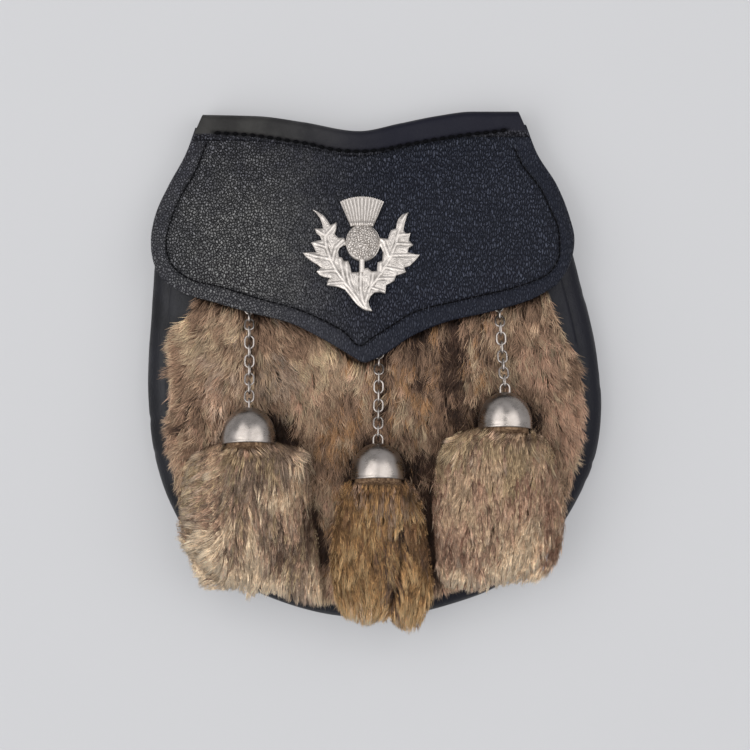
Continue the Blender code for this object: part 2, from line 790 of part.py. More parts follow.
def build_staple(side, pendant, look):
    """A plate under the flap with a wire bow, whose bar holds the chain's first link."""
    curve, _ = chain_curve(pendant)
    start = curve[0]
    across, down = start[0], TOP_Y - start[1]
    up = surface_up(flap_height, across, down)
    under = float(flap_height(across, down)) - FLAP_THICK / up.z - 2 * GAP
    rise = (under - start[2]) * up.z
    half = STAPLE_WIDE / 2
    vertices, faces = prism([(-half - 1.5, -3.0), (half + 1.5, -3.0), (half + 1.5, 3.0),
                             (-half - 1.5, 3.0)], rise - STAPLE_PLATE, rise)
    staple = add_object(f"chain_staple_{side}", mesh_of("chain_staple", vertices * MM, faces), look)
    bow = [(-half, 0, rise - 0.3), (-half, 0, 0.9), (-half + 0.9, 0, 0), (half - 0.9, 0, 0),
           (half, 0, 0.9), (half, 0, rise - 0.3)]
    bow = np.array(bow)
    ahead = np.gradient(bow, axis=0)
    ahead /= np.linalg.norm(ahead, axis=1)[:, None]
    across_way = np.array([0, 1.0, 0])
    rings = [circle(p, across_way, np.cross(a, across_way), WIRE / 2, 8) for p, a in zip(bow, ahead)]
    vertices, faces = loft([ring[::-1] for ring in rings])
    wire = helper(f"staple_bow_{side}", mesh_of("staple_bow", vertices * MM, faces))
    wire.parent = staple
    boolean(staple, wire, "UNION")
    staple.matrix_world = laid_at(across, down, float(start[2]), up)


def dome_profile():
    """A bell cap's section from the outer apex down to its rim and up inside: radius, along."""
    cap = DOME_TALL - DOME_SKIRT
    turns = np.linspace(math.radians(84), 0, 7)
    outer = [(DOME_RADIUS * math.cos(a), DOME_SKIRT + cap * math.sin(a)) for a in turns]
    radius, tall = DOME_RADIUS - DOME_THICK, cap - DOME_THICK
    inner = [(radius * math.cos(a), DOME_SKIRT + tall * math.sin(a)) for a in turns[::-2]]
    return [*outer, (DOME_RADIUS, 0.0), (radius, 0.0), *inner]


def build_dome(side, pendant, links, look):
    """A hollow metal dome with a soldered eye on top."""
    rim, ahead, up = dome_frame(pendant)
    x_way, z_way, centre = np.array([1.0, 0, 0]), np.array([0, 0, 1.0]), np.zeros(3)
    y_way = np.array([0, 1.0, 0])
    rings = [circle(centre + y_way * z, z_way, x_way, r, 18) for r, z in dome_profile()]
    vertices, faces = loft(rings)
    dome = add_object(f"dome_{side}", mesh_of(f"dome_{side}", vertices * MM, faces), look)
    turn = np.linspace(0, 2 * math.pi, 12, endpoint=False)
    path = [(EYE_RADIUS * math.cos(a), EYE_RADIUS * math.sin(a), 0) for a in turn]
    vertices, faces = wire_loop(path, 6)
    eye = helper(f"dome_eye_{side}", mesh_of("dome_eye", vertices * MM, faces))
    eye.parent = dome
    eye.location = (0, (DOME_TALL + EYE_RADIUS - 0.2) * MM, 0)
    eye.rotation_euler = (0, math.pi / 2 if links % 2 == 0 else 0, 0)
    boolean(dome, eye, "UNION")
    dome.matrix_world = frame_at(rim[0], TOP_Y - rim[1], rim[2], ahead, up)


def build_tassel(side, pendant, look):
    """Packed fur: a round neck inside the dome that spreads into a fan on the pouch's front."""
    rim, ahead, up = dome_frame(pendant)
    sides = 24
    x_way = np.array([1.0, 0, 0])
    rings = []
    for deep in NECK_DEPTHS:
        rise = max(deep - DOME_SKIRT, 0) / (DOME_TALL - DOME_SKIRT - DOME_THICK)
        radius = (DOME_RADIUS - DOME_THICK) * math.sqrt(1 - rise**2) - NECK_PLAY
        rings.append(circle(rim + ahead * deep, x_way, up, radius, sides) * MM)
    turn = np.linspace(0, 2 * math.pi, sides, endpoint=False)
    rows = pendant["fur"]
    for down in np.linspace(rows[0][0], rows[-1][0], 10):
        centre, half_wide, tall = (float(along(rows, down, column)) for column in (1, 2, 3))
        across = centre + half_wide * np.cos(turn)
        high = np.sin(turn)
        crest = TASSEL_EDGE + (tall - TASSEL_EDGE) * np.abs(high) ** 0.8
        height = np.where(high > 1e-9, crest, TASSEL_EDGE * (1 - np.abs(high)))
        base = fur_height(across, down, overhang=True) + SEAT_GAP
        rings.append(place(across, down, base + height))
    vertices, faces = loft(rings)
    add_object(f"tassel_{side}", mesh_of(f"tassel_{side}", vertices, faces), look)


def main():
    for old in list(bpy.data.objects):
        bpy.data.objects.remove(old, do_unlink=True)
    smooth_leather = material("smooth_leather", (0.025, 0.025, 0.03), 0.42)
    grained_leather = material("grained_leather", (0.03, 0.03, 0.036), 0.5)
    plain_leather = material("plain_leather", (0.05, 0.045, 0.04), 0.7)
    grey_fur = material("front_pelt", (0.22, 0.15, 0.1), 0.9)
    tassel_fur = material("tassel_pelt", (0.3, 0.2, 0.12), 0.9)
    polished = material("polished_nickel", (0.75, 0.75, 0.76), 0.12, 1.0)
    pewter = material("pewter", (0.6, 0.58, 0.55), 0.32, 1.0)

    build_back_panel(plain_leather)
    build_gusset(smooth_leather)
    build_front_panel(plain_leather)
    build_top_strip(smooth_leather)
    build_flap(grained_leather)
    build_front_fur(grey_fur, build_stud(polished))
    build_badge(pewter)
    for side, pendant in PENDANTS.items():
        links = build_chain(side, pendant, polished)
        build_staple(side, pendant, polished)
        build_dome(side, pendant, links, polished)
        build_tassel(side, pendant, tassel_fur)


main()
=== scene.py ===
"""The looks of a fur-fronted sporran pouch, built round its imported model.

The tables are in millimetres, in the model's own frame: "across" is measured from the axis to
the right, "down" from the top edge, and heights from the surface that the pouch lies on.
"""

import math

import bpy
import numpy as np
from mathutils import Matrix, Vector, geometry, kdtree


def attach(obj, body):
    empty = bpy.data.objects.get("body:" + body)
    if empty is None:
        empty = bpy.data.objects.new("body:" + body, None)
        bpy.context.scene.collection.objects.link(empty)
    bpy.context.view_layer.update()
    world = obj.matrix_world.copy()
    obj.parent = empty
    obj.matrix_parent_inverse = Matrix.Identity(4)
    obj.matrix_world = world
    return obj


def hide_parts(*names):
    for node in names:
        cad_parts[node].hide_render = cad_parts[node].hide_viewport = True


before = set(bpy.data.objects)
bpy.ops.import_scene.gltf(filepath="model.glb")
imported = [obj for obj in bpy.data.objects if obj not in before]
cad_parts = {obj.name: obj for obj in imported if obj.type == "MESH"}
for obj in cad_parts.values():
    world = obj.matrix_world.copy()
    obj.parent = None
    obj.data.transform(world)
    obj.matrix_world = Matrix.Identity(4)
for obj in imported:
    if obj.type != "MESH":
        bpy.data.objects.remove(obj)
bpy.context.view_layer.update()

MM = 0.001
FRAME_PIXELS = 750  # on each side of the picture
PIXEL = 0.44  # millimetres in one pixel
TOP_PIXEL = 110  # how many pixels down the pouch's top edge is
TOP_Y = 113.5
TINY = 1e-9

# ---------------------------------------------------------------- the model's own measures

GAP = 0.3
SEAT_GAP = 0.5
PANEL_THICK = 2.0
GUSSET_THICK = 1.5
FRONT_THICK = 1.6
FLAP_THICK = 2.2
STRIP_THICK = 2.0
RIM_INSET = 8.0
GUSSET_LAP = 2.0
GUSSET_FOOT = 4.6
GUSSET_TOP = 8.0
FLAP_TUCK = 0.8
STRIP_DEPTH = 16.8
STRIP_HEIGHT = 11.5
STRIP_FOLD = 4.5
STRIP_LEFT = -76.0
STRIP_SPAN = 139.2
STRIP_SLANT = 0.43
MOUTH_DOWN = 14.0
FUR_TOP_DOWN = 34.0
FUR_PRESSED = 0.8
FUR_FULL = 5.2
FUR_EDGE = 1.6
FUR_ROUND = 8.0
PILLOW = 60.0
DENT_DEPTH = 2.4
OVERHANG_FALL = 0.45
STUD_ACROSS = -8.0
STUD_DOWN = 91.0
STUD_RADIUS = 5.5
WIRE = 0.9
LINK_LONG = 6.4
LINK_WIDE = 4.8
LINK_PITCH = 4.2
CHAIN_LIFT = 2.8
CHAIN_RISE = 17.0
DOME_RADIUS = 11.8
DOME_TALL = 16.5
DOME_SKIRT = 3.0
DOME_THICK = 0.9
DOME_TILT = math.radians(8)
EYE_RADIUS = 2.0
EYE_SUNK = 0.2
DOME_LIP = (
    # in from the dome's radius, up
    (0.0, 1.6), (0.12, 1.15), (0.0, 0.8), (0.02, 0.3), (0.25, 0.04), (0.6, 0.04),
)
NECK_PLAY = 0.8
NECK_DEPTHS = (11.5, 9.0, 5.0, -0.8)
TASSEL_EDGE = 1.2
BADGE_ACROSS = -5.7
BADGE_DOWN = 63.4
BULB_UP = 4.5
BULB_WIDE = 7.5
BULB_TALL = 8.5
BULB_RELIEF = 3.4
CROWN_FOOT_UP = 12.0
CROWN_FOOT_HALF = 4.9
CROWN_TOP_UP = 25.8
CROWN_TOP_HALF = 9.6
CROWN_ARCH = 2.2
STEM_HALF = 1.2
CROWN_FLUTES = 11

OUTLINE = (
    # down, left, right
    (2.0, 76.0, 63.4), (12.0, 80.3, 67.5), (24.0, 86.2, 73.7), (40.0, 94.2, 82.6),
    (54.0, 97.6, 86.6), (70.0, 97.9, 89.6), (88.0, 99.0, 94.2), (110.0, 100.3, 98.6),
    (132.0, 100.2, 100.3), (154.0, 97.2, 97.2), (174.0, 90.4, 88.4), (192.0, 79.6, 75.7),
    (208.0, 61.0, 58.1), (219.0, 36.0, 31.0),
)
OUTLINE_BOTTOM = (-3.0, 224.4)
TOP_EDGE = (
    # across, down
    (-76.0, 1.4), (-52.0, 2.0), (-32.0, 4.6), (-7.0, 8.6), (11.0, 5.2), (27.0, 2.0), (43.0, 0.0),
    (64.0, 0.0),
)
DEPTH = (
    # down, rim, crown, rise, droop
    (0.0, 11.1, 0.0, 0.7, 0.00), (13.0, 11.1, 0.0, 0.7, 0.00), (20.0, 12.3, 0.4, 1.1, 0.02),
    (30.0, 13.9, 1.6, 2.4, 0.05), (50.0, 16.0, 3.6, 4.8, 0.07), (78.0, 18.3, 5.4, 7.9, 0.08),
    (110.0, 19.8, 6.8, 8.0, 0.08), (150.0, 20.8, 7.5, 8.0, 0.08), (190.0, 20.8, 7.5, 8.0, 0.08),
    (224.0, 19.0, 7.0, 8.0, 0.08),
)
FLAP_LEFT = (
    # across, down
    (-79.4, 7.2), (-83.5, 18.5), (-91.1, 32.6), (-97.2, 46.6), (-98.9, 57.0), (-97.8, 66.0),
    (-94.8, 72.6), (-90.2, 77.2),
)
FLAP_RIGHT = (
    # across, down
    (66.8, 6.0), (71.6, 18.5), (80.4, 32.6), (85.9, 46.6), (88.0, 56.0), (86.6, 65.0),
    (83.6, 71.8), (79.4, 77.2),
)
FLAP_LOWER_LEFT = (
    # across, down
    (-90.2, 77.2), (-83.6, 80.9), (-70.0, 84.9), (-56.3, 89.0), (-36.0, 94.4), (-22.4, 101.2),
    (-4.8, 111.8),
)
FLAP_LOWER_RIGHT = (
    # across, down
    (-4.8, 111.8), (4.6, 107.4), (15.0, 100.3), (29.0, 94.2), (52.8, 88.4), (70.4, 82.6),
    (79.4, 77.2),
)
WREATH = (
    # across, up
    (-21.7, 19.9), (-19.1, 18.7), (-16.9, 17.2), (-15.1, 14.9), (-13.9, 12.7), (-12.6, 13.2),
    (-11.1, 14.1), (-11.2, 11.0), (-12.0, 8.5), (-10.4, 6.7), (-7.9, 6.7), (-6.3, 3.6),
    (-8.2, 3.2), (-9.8, 2.1), (-10.5, 0.1), (-10.0, -2.1), (-8.7, -2.4), (-7.9, -3.9),
    (-6.0, -3.9), (-5.2, -6.5), (-4.5, -9.4), (-1.2, -9.0), (0.6, -7.6), (2.5, -7.2), (4.3, -8.8),
    (6.5, -8.7), (6.9, -4.7), (8.9, -3.8), (9.2, 0.1), (8.3, 2.4), (7.2, 3.6), (7.6, 6.7),
    (11.3, 6.2), (12.0, 8.5), (12.7, 10.2), (14.9, 11.0), (15.1, 13.2), (16.0, 15.6), (17.7, 17.6),
    (20.5, 18.7), (19.7, 16.8), (18.9, 14.5), (18.4, 12.2), (18.2, 10.1), (19.2, 8.8), (21.2, 9.0),
    (20.6, 6.7), (20.5, 5.4), (22.4, 3.5), (20.4, 2.1), (19.9, 0.0), (23.0, -0.7), (25.2, -1.2),
    (23.0, -3.9), (20.8, -6.1), (18.4, -6.9), (19.2, -9.0), (16.8, -10.0), (14.8, -10.6),
    (14.2, -12.9), (12.4, -14.0), (10.5, -15.0), (10.2, -18.8), (8.0, -18.1), (5.4, -18.4),
    (3.8, -20.1), (2.8, -22.4), (3.2, -24.6), (4.4, -26.9), (2.1, -26.7), (0.3, -25.9),
    (-1.9, -24.1), (-4.1, -21.5), (-5.7, -19.3), (-7.4, -17.1), (-10.0, -15.9), (-12.6, -15.4),
    (-15.3, -15.0), (-14.8, -12.9), (-13.7, -11.7), (-16.4, -11.4), (-18.4, -10.4), (-19.7, -8.8),
    (-17.7, -7.0), (-19.9, -5.3), (-22.8, -3.4), (-24.6, -1.8), (-25.7, -0.2), (-22.8, 0.1),
    (-20.0, 0.0), (-20.8, 2.1), (-22.2, 4.6), (-19.5, 5.4), (-17.7, 5.7), (-18.2, 7.5),
    (-19.9, 9.0), (-20.8, 11.1), (-18.6, 11.0), (-17.0, 10.8), (-17.3, 13.2), (-18.4, 16.0),
    (-20.0, 18.4),
)
PENDANTS = {
    "left": {
        "dome": (-54.6, 147.0),
        "chain": (-55.0, 81.5),
        "fur": (
            # down, centre, half_wide, tall
            (150.6, -53.0, 21.0, 18.5), (158.0, -52.8, 27.0, 17.0), (172.0, -53.2, 29.5, 14.5),
            (188.0, -53.4, 29.5, 12.5), (202.0, -52.2, 26.5, 10.0), (211.0, -49.5, 21.0, 7.0),
            (214.0, -48.0, 12.0, 4.0),
        ),
    },
    "middle": {
        "dome": (1.3, 162.4),
        "chain": (1.8, 101.0),
        "fur": (
            # down, centre, half_wide, tall
            (166.0, 1.8, 15.5, 18.5), (174.0, 1.8, 18.5, 17.0), (190.0, 1.8, 20.0, 14.0),
            (206.0, 2.3, 20.8, 11.5), (219.0, 3.0, 18.0, 8.5), (227.0, 4.5, 10.0, 4.5),
        ),
    },
    "right": {
        "dome": (56.4, 140.4),
        "chain": (53.7, 80.5),
        "fur": (
            # down, centre, half_wide, tall
            (144.0, 56.0, 19.5, 18.5), (151.0, 55.2, 25.0, 17.0), (166.0, 54.4, 26.8, 14.5),
            (184.0, 54.8, 27.6, 12.5), (198.0, 54.4, 25.5, 10.0), (207.0, 52.0, 19.5, 7.0),
            (210.5, 51.0, 11.0, 4.0),
        ),
    },
}

# ---------------------------------------------------------------- what only the looks need

# Seams, as places along them
STRIP_SEAM = (
    # across, down
    (-71.3, 9.7), (-52.8, 11.0), (-38.3, 13.2), (-27.7, 15.0), (-20.7, 16.7), (-8.4, 18.0),
    (1.8, 17.4), (14.1, 15.0), (29.5, 12.3), (43.6, 10.3), (53.2, 9.2), (58.5, 8.4),
)
FLAP_SEAM = (
    # across, down
    (-74.4, 14.1), (-79.6, 27.7), (-85.4, 37.8), (-89.8, 49.3), (-91.5, 55.9), (-91.3, 62.5),
    (-88.0, 69.5), (-81.4, 74.4), (-68.2, 77.9), (-49.7, 83.6), (-32.6, 88.4), (-20.7, 93.7),
    (-13.6, 97.7), (-6.2, 103.8), (-1.8, 100.8), (2.6, 98.0), (8.7, 94.1), (14.6, 90.4),
    (21.1, 87.9), (35.6, 84.4), (49.3, 81.2), (59.4, 78.8), (69.5, 75.4), (76.1, 72.0),
    (80.5, 65.1), (81.0, 58.5), (80.5, 51.9), (77.4, 44.4), (73.0, 34.8), (64.7, 23.3),
    (61.6, 16.7),
)
CURVE_STEPS = 16  # between two given points of a curve
FINE = 900  # points on a curve that distances are measured to
EDGE_ROWS = (0.0, 0.12, 0.35, 0.7, 1.15)  # millimetres in from a leather's edge
FLAP_WIDE = 210.0  # these four, about, to place rows of points by
FLAP_LONG = 75.0
STRIP_WIDE = 150.0
GUSSET_LONG = 560.0
FAN_NARROW = 0.72  # the top of the front's fan of places, as a share of its foot
GROOVE_WIDE = 1.1
GROOVE_DEEP = 0.55
BORDER_WIDE = 7.3  # from the flap's edge in to its seam

# Short creases across the gusset, with how far round it they are from its left top end
GUSSET_CREASES = (
    # share, depth, width
    (0.235, 0.35, 1.6), (0.262, 0.25, 1.2), (0.71, 0.35, 1.4), (0.728, 0.45, 1.1),
    (0.79, 0.3, 1.3), (0.86, 0.25, 1.8),
)

# How far the front's fur spreads to each side
FUR_SIDES = (
    # down, left, right
    (60.0, -80.0, 76.0), (84.5, -80.5, 79.6), (92.0, -85.5, 83.0), (100.3, -91.0, 86.7),
    (110.9, -90.6, 91.0), (126.7, -89.6, 92.6), (142.6, -91.6, 92.0), (158.4, -89.3, 88.6),
    (174.2, -84.8, 83.2), (190.0, -74.0, 72.0), (210.0, -52.0, 50.0),
)

# Hair colours, 0-255, from the root to the tip
PELT = {
    # root, middle, tip; neighbours in this list grow beside each other
    "dark": ((22, 16, 14), (46, 34, 28), (76, 57, 46)),
    "brown": ((46, 34, 28), (102, 80, 65), (148, 121, 99)),
    "rust": ((64, 44, 30), (130, 97, 68), (172, 136, 101)),
    "gold": ((60, 42, 27), (168, 130, 87), (234, 198, 147)),
    "tan": ((74, 56, 44), (140, 114, 92), (184, 158, 132)),
    "olive": ((74, 61, 48), (138, 118, 96), (178, 158, 131)),
    "moss": ((98, 79, 60), (172, 149, 118), (212, 191, 158)),
    "ash": ((58, 50, 44), (108, 94, 82), (146, 130, 115)),
    "taupe": ((76, 61, 51), (136, 115, 97), (178, 156, 136)),
    "rose": ((76, 52, 42), (138, 107, 88), (186, 155, 131)),
    "fawn": ((98, 72, 58), (182, 151, 127), (222, 197, 173)),
    "sand": ((112, 87, 68), (194, 168, 139), (228, 207, 178)),
    "cream": ((150, 127, 104), (214, 192, 163), (226, 207, 180)),
}
SHADES = list(PELT)
LEVELS = 6  # of brightness, for each colour
PELT_GAINS = (0.525, 1.925)  # of the darkest and the brightest level

# Where each colour of hair grows on the front: how strong it is round a place
FRONT_TONES = (
    # across, down, reach across, reach down, colour, weight
    (0, 140, 900, 900, "tan", 0.28),
    (0, 140, 900, 900, "brown", 0.44),
    (0, 140, 900, 900, "rose", 0.09),
    (0, 140, 900, 900, "olive", 0.22),
    (-72, 98, 16, 12, "olive", 1.2),
    (-70, 94, 14, 7, "moss", 0.4),
    (-76, 112, 20, 16, "tan", 0.4),
    (-78, 110, 20, 20, "brown", 0.7),
    (-78, 134, 14, 14, "rose", 1.6),
    (-76, 134, 14, 12, "fawn", 1.0),
    (-80, 128, 12, 12, "dark", 0.15),
    (-46, 112, 6, 15, "taupe", 2.2),
    (-43, 104, 4, 14, "ash", 0.9),
    (-62, 116, 9, 16, "taupe", 0.9),
    (-26, 120, 14, 14, "brown", 0.6),
    (-26, 108, 16, 10, "tan", 1.2),
    (-30, 104, 16, 7, "moss", 0.5),
    (-12, 142, 12, 22, "rust", 0.5),
    (-22, 146, 12, 26, "tan", 0.6),
    (-16, 176, 8, 26, "rust", 0.9),
    # Painted shadow of the flap: the brown and the dark patch just below its right half.
    (24, 116, 18, 20, "brown", 2.4),
    (24, 112, 18, 22, "rust", 0.7),
    (26, 112, 16, 20, "dark", 1.9),
    (8, 112, 8, 10, "rust", 0.5),
    (28, 142, 14, 30, "brown", 0.8),
    (70, 88, 12, 8, "tan", 1.0),
    (74, 104, 14, 14, "rose", 0.8),
    (76, 116, 16, 26, "brown", 0.8),
    (84, 126, 12, 30, "rose", 0.9),
    (62, 92, 16, 12, "brown", 0.9),
    (84, 148, 14, 20, "tan", 0.8),
    (-92, 120, 6, 60, "tan", 1.0),
    # Painted shade: dark hair in the gap right of the left tassel and the gap right of the middle
    # one.
    (-26, 181, 4.0, 13, "dark", 6.0),
    (23.5, 178, 4.0, 20, "dark", 6.0),
    # Painted shadow: dark hair round each dome.
    (-54, 134, 14, 8, "dark", 0.5),
    (-40, 142, 4, 10, "dark", 2.0),
    (1, 148, 14, 8, "dark", 0.5),
    (15.5, 158, 4, 10, "dark", 2.0),
    (56, 127, 14, 8, "dark", 0.5),
    (42, 134, 5, 8, "dark", 0.8),
    (71, 138, 4, 8, "dark", 1.2),
)
TASSEL_TONES = {
    "left": (
        # across, down, reach across, reach down, colour, weight
        (-53, 180, 900, 900, "sand", 0.22),
        (-53, 180, 900, 900, "fawn", 0.14),
        (-53, 180, 900, 900, "taupe", 0.50),
        (-53, 180, 900, 900, "moss", 0.16),
        (-70, 158, 14, 12, "moss", 1.2),
        (-64, 158, 5, 8, "fawn", 0.8),
        (-76, 176, 9, 10, "fawn", 1.2),
        (-68, 192, 18, 8, "fawn", 0.9),
        (-79, 198, 16, 12, "cream", 6.0),
        (-58, 203, 26, 9, "cream", 4.8),
        (-36, 209, 12, 6, "sand", 1.2),
        (-34, 192, 8, 14, "fawn", 0.8),
        (-52, 162, 10, 10, "taupe", 0.7),
        (-54, 178, 18, 14, "brown", 0.45),
        (-46, 176, 7, 14, "cream", 0.3),
        (-31, 168, 3, 20, "brown", 1.0),
        (-41, 188, 2.0, 12, "brown", 1.0),
    ),
    "middle": (
        # across, down, reach across, reach down, colour, weight
        (2, 190, 900, 900, "gold", 0.84),
        (2, 190, 900, 900, "rust", 0.26),
        (2, 166, 20, 6, "fawn", 0.5),
        (2, 193, 20, 10, "brown", 0.2),
        (2, 167, 20, 6, "tan", 0.9),
        (18, 204, 5, 18, "gold", 0.9),
        (2, 211, 26, 10, "gold", 0.8),
        (8, 217, 22, 7, "gold", 1.4),
        (8, 220, 22, 5, "sand", 1.6),
        # Painted shade: dark and brown hair down the split in the middle tassel.
        (10.4, 186, 1.0, 7, "dark", 2.0),
        (11.4, 195, 1.0, 8, "dark", 3.6),
        (10.4, 205, 1.0, 7, "dark", 4.0),
        (7.8, 214, 1.2, 7, "dark", 4.0),
        (7.4, 204, 2.6, 16, "brown", 1.5),
    ),
    "right": (
        # across, down, reach across, reach down, colour, weight
        (55, 176, 900, 900, "fawn", 0.56),
        (55, 176, 900, 900, "sand", 0.52),
        (55, 176, 900, 900, "rose", 0.12),
        (50, 146, 26, 5, "moss", 3.0),
        (64, 143, 12, 3, "taupe", 1.2),
        (55, 150, 26, 8, "sand", 0.7),
        (52, 158, 18, 8, "moss", 0.5),
        (66, 200, 20, 8, "cream", 3.0),
        (42, 200, 14, 8, "cream", 1.5),
        (76, 190, 8, 14, "cream", 0.4),
        (34, 166, 6, 24, "sand", 0.6),
    ),
}

# How far a tassel's hair reaches to each side
TASSEL_REACH = {
    "left": (
        # down, left, right
        (144.0, -74.0, -36.0), (147.0, -78.0, -32.0), (152.0, -81.0, -29.0), (167.0, -83.4, -28.2),
        (178.0, -84.6, -27.8), (185.0, -84.0, -26.6), (190.0, -85.6, -25.6), (197.0, -85.2, -24.8),
        (201.0, -81.4, -24.2), (206.0, -78.4, -23.6), (211.0, -76.0, -23.2), (219.0, -72.0, -22.6),
    ),
    "middle": (
        # down, left, right
        (160.0, -13.0, 13.0), (166.0, -13.8, 16.0), (174.0, -15.2, 19.4), (184.0, -16.6, 21.2),
        (194.0, -18.2, 22.4), (205.0, -18.8, 23.6), (214.0, -17.6, 24.6), (224.0, -15.4, 23.0),
        (231.0, -12.0, 20.0),
    ),
    "right": (
        # down, left, right
        (140.0, 40.0, 66.0), (143.0, 30.5, 70.0), (146.0, 29.5, 73.0), (153.0, 27.9, 77.0),
        (162.0, 26.6, 79.6), (171.0, 26.0, 81.4), (181.0, 26.0, 82.6), (190.0, 26.6, 82.2),
        (198.0, 27.2, 81.4), (205.0, 28.0, 78.4), (210.0, 30.0, 73.0),
    ),
}
TASSEL_FOOT = {
    "left": (
        # across, down
        (-86.0, 200.0), (-81.0, 206.0), (-76.0, 210.6), (-67.0, 211.8), (-58.7, 211.6),
        (-54.1, 213.6), (-49.4, 212.0), (-42.0, 213.8), (-32.8, 216.6), (-22.0, 219.0),
    ),
    "middle": (
        # across, down
        (-19.0, 219.0), (-14.0, 222.4), (-8.0, 225.0), (-2.5, 226.6), (1.5, 224.9), (6.0, 224.6),
        (9.5, 227.4), (14.0, 229.4), (19.0, 226.4), (25.0, 219.0),
    ),
    "right": (
        # across, down
        (26.0, 207.0), (33.0, 209.8), (42.0, 211.4), (47.0, 211.8), (52.0, 209.0), (60.0, 208.4),
        (68.0, 208.0), (75.0, 206.0), (83.0, 200.0),
    ),
}

# The split down the middle tassel, and how deep it is
CREVICE = (
    # down, across, depth
    (176.0, 7.2, 0.0), (182.0, 9.0, 0.8), (188.5, 10.2, 1.4), (195.0, 10.8, 2.6),
    (204.0, 9.8, 3.4), (213.0, 8.3, 3.0), (226.0, 5.8, 2.0),
)
CREVICE_HALF = 1.1

# Hairs, in millimetres
HAIR_WIDE = 0.32
FRONT_LENGTHS = (5.5, 10.0)
FRONT_TUFT_LENGTHS = (6.5, 10.5)
FRONT_PULL = 0.62  # how far a hair's tip leans to its tuft's own
TASSEL_PULL = 0.58
STRAY_SHARE = 0.10  # of hairs with a colour other than their tuft's
BEND_RADIUS = 34.0  # of the curve that a tassel's hair falls in
FRONT_HAIRS = 27000  # on each half of the front
TASSEL_HAIRS = {"left": 21000, "middle": 15000, "right": 21000}
TASSEL_LENGTHS = {"left": (7.0, 11.5), "middle": (7.5, 12.5), "right": (6.0, 10.0)}
HAIRS_A_TUFT = 14
TUFT_SQUEEZE = np.array([1.0, 0.3])  # tufts are longer down the pouch than across it
HAIR_STEPS = np.array([0.0, 0.45, 1.0])
SIDE_FRINGE = 1.2  # from a tassel's form out to its hair's outline
FOOT_FRINGE = 2.2
FORM_SIDES, FORM_ROWS = 112, 90  # of the grid over a tassel's form
CORE_WIDE, CORE_TALL = 0.86, 0.72  # of a tassel's core, as shares of its form

# The picture
SENSOR = 36.0
CAMERA_AWAY = 1.5
FOCUS_LEVEL = 0.02  # the height at which a pixel is as wide as PIXEL says
FLOOR_HALF = 3000.0
LIGHTS = (
    # name, place in metres, size, power
    ("key", (-1.20, 0.76, 2.60), 3.00, 61.0),
    ("low", (-1.75, -1.10, 2.20), 2.40, 43.0),
    ("far", (1.60, 0.50, 2.60), 3.20, 62.0),
)


# ---------------------------------------------------------------- curves and heights


def run_along(points):
    """How far along a line each of its points is."""
    return np.concatenate([[0.0], np.cumsum(np.linalg.norm(np.diff(points, axis=0), axis=1))])


def placed_at(stations, length, points):
    """Places at some stations along a line whose own points lie at the given lengths."""
    return np.stack([np.interp(stations, length, column) for column in points.T], 1)


def unit(vectors, least=0.0):
    """Vectors brought to length 1. least keeps a zero vector from a division by zero."""
    return vectors / (np.linalg.norm(vectors, axis=-1)[..., None] + least)


def full_turn(count):
    """A full turn's angles in even steps."""
    return np.linspace(0, 2 * math.pi, count, endpoint=False)


def hermite(t, wide, start, start_slope, end, end_slope):
    """A cubic curve at t of the way from start to end, with the given slopes there."""
    return (
        start * (2 * t**3 - 3 * t**2 + 1)
        + wide * start_slope * (t**3 - 2 * t**2 + t)
        + end * (3 * t**2 - 2 * t**3)
        + wide * end_slope * (t**3 - t**2)
    )


def along(rows, at, column=1):
    """A table's column at the given places in its first column, as a smooth monotone curve."""
    table = np.array(rows, dtype=float)
    x, y = table[:, 0], table[:, column]
    steps = np.diff(y) / np.diff(x)
    slopes = np.zeros(len(x))
    slopes[0], slopes[-1] = steps[0], steps[-1]
    same = steps[:-1] * steps[1:] > 0
    slopes[1:-1][same] = 2 * steps[:-1][same] * steps[1:][same] / (steps[:-1] + steps[1:])[same]
    at = np.clip(np.asarray(at, dtype=float), x[0], x[-1])
    cell = np.clip(np.searchsorted(x, at, side="right") - 1, 0, len(x) - 2)
    wide = x[cell + 1] - x[cell]
    t = (at - x[cell]) / wide
    return hermite(t, wide, y[cell], slopes[cell], y[cell + 1], slopes[cell + 1])


def curve_at(points, shares):
    """Points at the given shares of the length of a smooth curve through the given ones."""
    points = np.array(points, dtype=float)
    stops = run_along(points)
    slopes = np.gradient(points, stops, axis=0)
    fine = np.linspace(0, stops[-1], CURVE_STEPS * len(points))
    cell = np.clip(np.searchsorted(stops, fine, side="right") - 1, 0, len(stops) - 2)
    wide = (stops[cell + 1] - stops[cell])[:, None]
    t = (fine - stops[cell])[:, None] / wide
    curve = hermite(t, wide, points[cell], slopes[cell], points[cell + 1], slopes[cell + 1])
    length = run_along(curve)
    return placed_at(np.asarray(shares) * length[-1], length, curve)


def smooth_curve(points, count):
    """Even places along a smooth curve."""
    return curve_at(points, np.linspace(0, 1, count))


def smoothstep(low, high, value):
    """A soft step from 0 at low to 1 at high, or the other way round where low is the larger."""
    t = np.clip((np.asarray(value, dtype=float) - low) / (high - low), 0, 1)
    return t * t * (3 - 2 * t)


def outline(count, start=2.0):
    """The pouch's edge from its left top corner round the bottom to the right one, with the
    direction that points into the pouch at each place."""
    left = [(-row[1], row[0]) for row in OUTLINE]
    right = [(row[2], row[0]) for row in reversed(OUTLINE)]
    fine = smooth_curve([*left, OUTLINE_BOTTOM, *right], FINE)
    fine = fine[fine[:, 1] >= start]
    length = run_along(fine)
    edge = placed_at(np.linspace(0, length[-1], count), length, fine)
    ahead = unit(np.gradient(edge, axis=0))
    return edge, np.stack([ahead[:, 1], -ahead[:, 0]], 1)


EDGE, EDGE_INWARD = outline(400)


